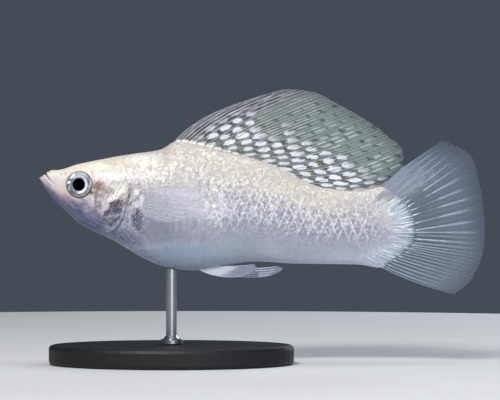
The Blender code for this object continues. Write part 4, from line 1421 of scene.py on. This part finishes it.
def read_numbers(mesh, key):
    numbers = np.empty(len(mesh.vertices), np.float32)
    mesh.attributes[key].data.foreach_get("value", numbers)
    return numbers


def add_patches(mesh):
    """A texture map in which each scale is a small patch at its root's place."""
    corners = np.empty(len(mesh.loops), np.int32)
    mesh.loops.foreach_get("vertex_index", corners)
    u = read_numbers(mesh, "root_u") + read_numbers(mesh, "ahead") * SCALE_PATCH / 2
    v = read_numbers(mesh, "root_v") + read_numbers(mesh, "across") * SCALE_PATCH / 2
    layer = mesh.uv_layers.new(name="OFBake")
    layer.data.foreach_set("uv", np.stack((u[corners], v[corners]), axis=-1).ravel())
    for key in ("root_u", "root_v", "facing", "lie", "lift", "size", "rise"):
        if key in mesh.attributes:
            mesh.attributes.remove(mesh.attributes[key])


def swept(root, angle, tip, v, share=0.45):
    """A point of a ray that leaves its root at an angle, in degrees, and bends to its tip."""
    length = np.hypot(tip[0] - root[0], tip[1] - root[1]) * share
    knee = (root[0] + length * np.cos(np.radians(angle)), root[1] + length * np.sin(np.radians(angle)))
    return [(1 - v) ** 2 * root[k] + 2 * v * (1 - v) * knee[k] + v * v * tip[k] for k in (0, 1)]


def dorsal_surface(u, v):
    x = between(DORSAL_ROOT, 0.8 * u + 0.2 * u * u)
    root = (x, curve(BACK, x) - ROOT_SINK)
    x, z = swept(root, curve(DORSAL_ANGLES, u), along(DORSAL_TIPS, u), v, curve(DORSAL_SHARES, u))
    return np.stack(np.broadcast_arrays(x, DORSAL_LEAN * u**1.5 * v**1.3, z), axis=-1)


def caudal_surface(u, v):
    """Straight rays; only the outermost are a little bowed."""
    place = curve(CAUDAL_SPREAD_ROOTS, u)
    reach = np.sin(math.pi * place)
    x = between((CAUDAL_START, FLESH_LENGTH), reach)
    inset = ROOT_SINK * (1 - reach)
    root = (x - ROOT_SINK, np.where(place < 0.5, curve(BACK, x) - inset, curve(BELLY, x) + inset))
    tip = along(CAUDAL_TIPS, curve(CAUDAL_SPREAD, u))
    angle = np.degrees(np.arctan2(tip[1] - root[1], tip[0] - root[0])) + curve(CAUDAL_BOW, u)
    x, z = swept(root, angle, tip, v)
    lean = CAUDAL_LEAN * (np.sin(math.pi * (u + 0.2)) - 1.25) * v**1.4
    return np.stack(np.broadcast_arrays(x, lean, z), axis=-1)


def pectoral_surface(side):
    def surface(u, v):
        root = along(PECTORAL_ROOT, u)
        x, z = swept(root, curve(PECTORAL_ANGLES, u), along(PECTORAL_TIPS, u), v)
        near, far = PECTORAL_FLARE
        y = half_width_at(*root) - PECTORAL_SINK + near * v * (2 - v) + far * v
        return np.stack(np.broadcast_arrays(x, side * y, z), axis=-1)

    return surface


def belly_root(span, share):
    """A place inside the belly's edge, a share of the way along a fin's root."""
    x = between(span, share)
    return x, curve(BELLY, x) + ROOT_SINK


def pelvic_surface(side):
    def surface(u, v):
        x, z = swept(belly_root(PELVIC_ROOT, u), curve(PELVIC_ANGLES, u), along(PELVIC_TIPS, u), v)
        return np.stack(np.broadcast_arrays(x, side * between(PELVIC_Y, v), z), axis=-1)

    return surface


def gonopodium_surface(u, v):
    root = belly_root(GONOPODIUM_ROOT, u)
    x, z = swept(root, curve(GONOPODIUM_ANGLES, u), along(GONOPODIUM_TIPS, u), v)
    return np.stack(np.broadcast_arrays(x, 0 * x, z), axis=-1)


def surface_normals(surface, u, v):
    small = 1e-3
    across = surface(np.minimum(u + small, 1), v) - surface(np.maximum(u - small, 0), v)
    outwards = surface(u, np.minimum(v + small, 1)) - surface(u, np.maximum(v - small, 0))
    normals = np.cross(across, outwards)
    return normals / np.maximum(np.linalg.norm(normals, axis=-1, keepdims=True), 1e-9)


def make_membrane(name, surface, rays, finish, thickness):
    """A closed thin sheet that bellies a little between the rays and is scalloped at its free edge."""
    u = np.linspace(0, 1, (rays - 1) * SHEET_COLUMNS + 1)[:, None]
    v = np.linspace(0, 1, SHEET_ROWS + 1)[None, :]
    bay = np.sin(math.pi * ((u * (rays - 1)) % 1))
    torn = 0.5 + 0.5 * np.sin(u * (rays - 1) * 2.1 + np.sin(u * 31))
    end = v * (1 - RAGGED * bay * (0.5 + torn))
    u = np.broadcast_to(u, end.shape)
    middle = surface(u, end)
    normals = surface_normals(surface, u, end)
    middle = middle + normals * (BILLOW * bay * np.sin(math.pi * v * 0.8))[..., None]
    half = between(thickness, v)[..., None] / 2
    front, back = middle + normals * half, middle - normals * half
    steps_out = np.linalg.norm(np.diff(middle, axis=1), axis=-1)
    reach = np.concatenate((np.zeros((len(u), 1)), np.cumsum(steps_out, axis=1)), axis=1)
    ray = u * (rays - 1)
    columns, height = end.shape
    shift = columns * height
    faces = []
    for i in range(columns - 1):
        for j in range(height - 1):
            a, b = i * height + j, (i + 1) * height + j
            faces.append((a, b, b + 1, a + 1))
            faces.append((a + shift, a + 1 + shift, b + 1 + shift, b + shift))
    edge = list(range(height))
    edge += [i * height + height - 1 for i in range(1, columns)]
    edge += [(columns - 1) * height + j for j in range(height - 2, -1, -1)]
    edge += [i * height for i in range(columns - 2, 0, -1)]
    for a, b in zip(edge, edge[1:] + edge[:1]):
        faces.append((a, b, b + shift, a + shift))
    numbers = {"ray": ray, "reach": reach - ROOT_SINK, "out": np.broadcast_to(v, end.shape)}
    numbers = {key: np.tile(values.ravel(), 2) for key, values in numbers.items()}
    points = np.concatenate((front.reshape(-1, 3), back.reshape(-1, 3)))
    return add_piece(name, points, faces, finish, numbers)


def build_ray_tree():
    """Wires become jointed rods as thick as each point says."""
    tree, sockets, finish = new_geometry_tree(
        "jointed_rays",
        {
            "Sides": "NodeSocketInt",
            "Joint Length": "NodeSocketFloat",
            "Joint Depth": "NodeSocketFloat",
            "Finish": "NodeSocketMaterial",
        },
    )
    wires = tree.add("GeometryNodeMeshToCurve", None, {0: sockets["Geometry"]})
    thick = tree.add("GeometryNodeInputNamedAttribute", {"data_type": "FLOAT"}, {"Name": "thick"})
    length = tree.add("GeometryNodeSplineParameter", output=1)
    turn = length / sockets["Joint Length"] * (2 * math.pi)
    waist = turn.sine() * sockets["Joint Depth"]
    sized = tree.add("GeometryNodeSetCurveRadius", None, {0: wires, "Radius": thick * (1 - waist)})
    profile = tree.add("GeometryNodeCurvePrimitiveCircle", None, {"Resolution": sockets["Sides"], "Radius": 1.0})
    radius = tree.add("GeometryNodeInputNamedAttribute", {"data_type": "FLOAT"}, {"Name": "radius"})
    values = {0: sized, 1: profile, "Scale": radius, "Fill Caps": True}
    finish(tree.add("GeometryNodeCurveToMesh", None, values))
    return tree.owner


def ray_paths(rays, forks):
    """Each ray's stretches, as (ray, from, to, sideways at its start, sideways at its end, share of thickness)."""
    found = []
    first, second = forks
    for i in range(rays):
        if i in (0, rays - 1):
            found.append((i, 0, 1, 0, 0, EDGE_SHARE))
            continue
        found.append((i, 0, first, 0, 0, 1))
        for near in (-1, 1):
            fork = near * BRANCH_SPREAD
            found.append((i, first, second, 0, fork, BRANCH_SHARE))
            for far in (-1, 1):
                found.append((i, second, 1, fork, near * TWIG_SPREADS[0] + far * TWIG_SPREADS[1], TWIG_SHARE))
    return found


def make_rays(name, tree, surface, rays, finish, thickness, forks=(0.42, 0.7), extra=()):
    """All rays of one fin as one piece."""
    points, edges, thick, ray, reach = [], [], [], [], []

    def add_wire(path, radii, number, lengths):
        start = len(points)
        points.extend(path)
        edges.extend((start + k, start + k + 1) for k in range(len(path) - 1))
        thick.extend(radii)
        ray.extend([number] * len(path))
        reach.extend(lengths)

    for i, start, end, from_side, to_side, share in ray_paths(rays, forks):
        count = max(6, int(RAY_POINTS * (end - start)))
        v = np.linspace(start, end, count)
        sideways = between((from_side, to_side), smooth_step(0, 1, (v - start) / (end - start)))
        u = np.clip((i + sideways) / (rays - 1), 0, 1)
        path = surface(u, v)
        root = surface(u, 0 * v)
        radii = between(thickness, v) * share * (1 - 0.5 * smooth_step(0.9, 1, v))
        add_wire(path, radii, i, np.linalg.norm(path - root, axis=-1) - ROOT_SINK)
    for path, radii, number in extra:
        add_wire(path, radii, number, np.zeros(len(path)))
    mesh = new_mesh(name, points, edges)
    put_numbers(mesh, {"thick": np.array(thick) * MM, "ray": ray, "reach": reach})
    settings = {
        "Sides": RAY_SIDES, "Joint Length": JOINT_LENGTH * MM, "Joint Depth": JOINT_DEPTH, "Finish": finish,
    }
    return grow(add_object(name + "_wires", mesh), tree, settings, name)


def hypural_wires():
    """The tail rays' bright bases, which spread over both sides of the stem's end in line with the rays."""
    rng = np.random.default_rng(BASE_SEED)
    wires = []
    count = 3 * CAUDAL_RAYS - 2
    for i in range(1, count - 1):
        for side in (-1, 1):
            if rng.random() < BASES_LEFT_OUT:
                continue
            u = np.array((i + rng.uniform(-0.3, 0.3)) / (count - 1))
            root, ahead = caudal_surface(u, np.array(0.0)), caudal_surface(u, np.array(0.1))
            line = (ahead - root) / np.linalg.norm(ahead - root)
            steps = np.linspace(-rng.uniform(1.5, 3.4), rng.uniform(0.1, 1.0), BASE_POINTS)
            wire = root + line * steps[:, None]
            skin_y = half_width_at(wire[:, 0], wire[:, 2])
            on_skin = np.isfinite(skin_y) & (skin_y > 0.2)
            wire[:, 1] = np.where(on_skin, side * (skin_y + 0.02), wire[:, 1] + side * 0.08)
            share = np.linspace(0, 1, BASE_POINTS)
            wires.append((wire, 0.02 + rng.uniform(0.1, 0.2) * np.sin(math.pi * share) ** 0.7, i / 3))
    return wires


def fin_done(piece, node):
    """A fin's piece takes the place of its solid."""
    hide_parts(node)
    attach(piece, "root")


def add_fin(node, tree, surface, rays, finishes, thicknesses, **how):
    """A fin's clear sheet and its rays, as two pieces, each as thick as its pair for root and tip says."""
    fin, _, side = node.partition("_fin")
    fin_done(make_membrane(f"{fin}_membrane{side}", surface, rays, finishes[0], thicknesses[0]), node)
    fin_done(make_rays(f"{fin}_rays{side}", tree, surface, rays, finishes[1], thicknesses[1], **how), node)


def make_fins():
    """Every fin's sheet and rays, the left one of a pair first."""
    tree = build_ray_tree()
    dorsal_rays = make_ray_finish("sail_rays", srgb(92, 92, 98), srgb(112, 124, 122), 18, 0.8, 0.4)
    small_rays = make_ray_finish("small_fin_rays", srgb(222, 226, 236), srgb(186, 192, 206), 14, 0.26, 0.1)
    belly_rays = make_ray_finish("belly_fin_rays", srgb(186, 191, 208), srgb(170, 176, 194), 14, 1.0, 0.9)
    pectoral_skin = make_clear_membrane_finish("pectoral_membrane", srgb(214, 216, 226), 0.12, 0.06, 10)
    belly = (make_belly_finish(), belly_rays)
    sail = (make_dorsal_finish(), dorsal_rays)
    tail = (make_tail_finish(), make_tail_ray_finish())
    pectoral = (pectoral_skin, small_rays)

    add_fin("dorsal_fin", tree, dorsal_surface, DORSAL_RAYS, sail, ((0.16, 0.06), (0.13, 0.05)))
    add_fin(
        "caudal_fin", tree, caudal_surface, CAUDAL_RAYS, tail, ((0.14, 0.05), (0.19, 0.07)),
        forks=(0.56, 0.8), extra=hypural_wires(),
    )
    add_fin(
        "gonopodium", tree, gonopodium_surface, GONOPODIUM_RAYS, belly, ((0.3, 0.12), (0.22, 0.12)),
        forks=(0.8, 0.9),
    )
    for side, side_name in ((-1, "left"), (1, "right")):
        node = f"pectoral_fin_{side_name}"
        add_fin(node, tree, pectoral_surface(side), PECTORAL_RAYS, pectoral, ((0.12, 0.04), (0.08, 0.035)))
        node = f"pelvic_fin_{side_name}"
        add_fin(node, tree, pelvic_surface(side), PELVIC_RAYS, belly, ((0.3, 0.08), (0.15, 0.07)))


def make_turned(name, profile, centre, side, finish, slope):
    """A shape turned about the eye's axis from (radius, distance out) points, and leant by the slopes."""
    profile = np.array(profile, float)
    angle = np.linspace(0, 2 * math.pi, EYE_SEGMENTS, endpoint=False)
    radius, out = profile[:, 0][:, None], profile[:, 1][:, None]
    x = centre[0] + radius * np.cos(angle)
    z = centre[1] + radius * np.sin(angle)
    y = side * (out + slope[0] * (x - EYE_X) + slope[1] * (z - EYE_Z))
    points = np.stack((x, y, z), axis=-1).reshape(-1, 3)
    lean = slope[0] * (centre[0] - EYE_X) + slope[1] * (centre[1] - EYE_Z)
    poles = np.array([(centre[0], side * (profile[k][1] + lean), centre[1]) for k in (0, -1)])
    points = np.concatenate((points, poles))
    return add_piece(name, points, lofted_faces(len(profile), EYE_SEGMENTS), finish)


def make_eyes():
    """Iris, pupil and cornea, each its own piece, in place of the plain eyeballs."""
    iris_finish, pupil_finish, cornea_finish = make_eye_finish(), make_pupil_finish(), make_cornea_finish()
    ahead, behind, under, over = (
        float(half_width_at(np.array(EYE_X + dx), np.array(EYE_Z + dz)))
        for dx, dz in ((-EYE_RADIUS, 0), (EYE_RADIUS, 0), (0, -EYE_RADIUS), (0, EYE_RADIUS))
    )
    slope = ((behind - ahead) / (2 * EYE_RADIUS), (over - under) / (2 * EYE_RADIUS))
    level = (ahead + behind + over + under) / 4

    def dome(radius):
        return level + EYE_BULGE * math.sqrt(max(0, 1 - (radius / EYE_RADIUS) ** 4)) - EYE_SINK

    for side, side_name in ((-1, "left"), (1, "right")):
        centre = (EYE_X, EYE_Z)
        rim = dome(IRIS_RIM)
        iris = [(r, level - depth) for r, depth in BALL_BACK]
        iris += [(r, dome(r) - IRIS_DEPTH) for r in np.linspace(EYE_RADIUS * 0.99, IRIS_RIM + 0.1, 9)]
        iris += [(r, rim - depth) for r, depth in IRIS_WELL]
        ball = make_turned(f"iris_{side_name}", iris, centre, side, iris_finish, slope)
        angles = np.linspace(math.pi * 0.97, 0.03, 22)
        lens = [(PUPIL_RADIUS * math.sin(a), rim - PUPIL_DEPTH + PUPIL_BULGE * math.cos(a)) for a in angles]
        pupil = make_turned(f"pupil_{side_name}", lens, (PUPIL_X, PUPIL_Z), side, pupil_finish, slope)
        shell = [(r, dome(r)) for r in np.linspace(EYE_RADIUS * 0.985, 0.05, 24)]
        shell.insert(0, (0.05, dome(2.3) - 0.4))
        cornea = make_turned(f"cornea_{side_name}", shell, centre, side, cornea_finish, slope)
        for piece in (ball, pupil, cornea):
            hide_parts(f"eye_{side_name}")
            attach(piece, "root")


def dress_stand():
    """The stand keeps its solids and gets its finishes."""
    for node, finish in (("stand_base", make_base_finish()), ("stand_rod", make_rod_finish())):
        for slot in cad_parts[node].material_slots:
            slot.material = finish


def add_light(name, place, size, power, colour):
    """A round soft light that shines on the middle of the fish."""
    data = bpy.data.lights.new(name, "AREA")
    data.shape = "DISK"
    data.size = size
    data.energy = power
    data.color = colour
    light = add_object(name, data)
    light.location = place
    light.rotation_euler = (Vector(STAGE_MIDDLE) - Vector(place)).to_track_quat("-Z", "Y").to_euler()


def set_stage():
    """A round pale floor, a slate surround, and soft light from above and in front."""
    bpy.ops.mesh.primitive_circle_add(vertices=128, radius=FLOOR_RADIUS, fill_type="NGON", location=(0, 0, 0))
    floor = bpy.context.object
    floor.name = "floor"
    floor.data.materials.append(make_floor_finish())
    world = bpy.data.worlds.new("slate_surround")
    world.use_nodes = True
    world.node_tree.nodes["Background"].inputs["Color"].default_value = srgb(96, 106, 120)
    world.node_tree.nodes["Background"].inputs["Strength"].default_value = 0.5
    bpy.context.scene.world = world
    bpy.context.scene.view_settings.view_transform = "Standard"
    for light in LIGHTS:
        add_light(*light)


def set_camera():
    """Level with the middle of the photograph, square to the fish, with the same framing."""
    across = (PICTURE[0] / 2 - JAW_TIP_PIXEL[0]) * PIXEL
    up = (JAW_TIP_PIXEL[1] - PICTURE[1] / 2) * PIXEL
    data = bpy.data.cameras.new("camera")
    data.sensor_width = SENSOR
    data.lens = SENSOR * CAMERA_DISTANCE / (PICTURE[0] * PIXEL)
    data.clip_start, data.clip_end = 0.01, 10
    camera = add_object("camera", data)
    camera.location = to_model((across, -CAMERA_DISTANCE, up))
    camera.rotation_euler = (math.pi / 2, 0, 0)
    bpy.context.scene.camera = camera


def main():
    """Dresses the fish and its stand."""
    set_camera()
    set_stage()
    dress_stand()
    skin = make_skin(make_skin_finish())
    make_scales(make_scale_plate(), skin, build_scale_tree(), make_scale_finish())
    make_eyes()
    make_fins()


main()
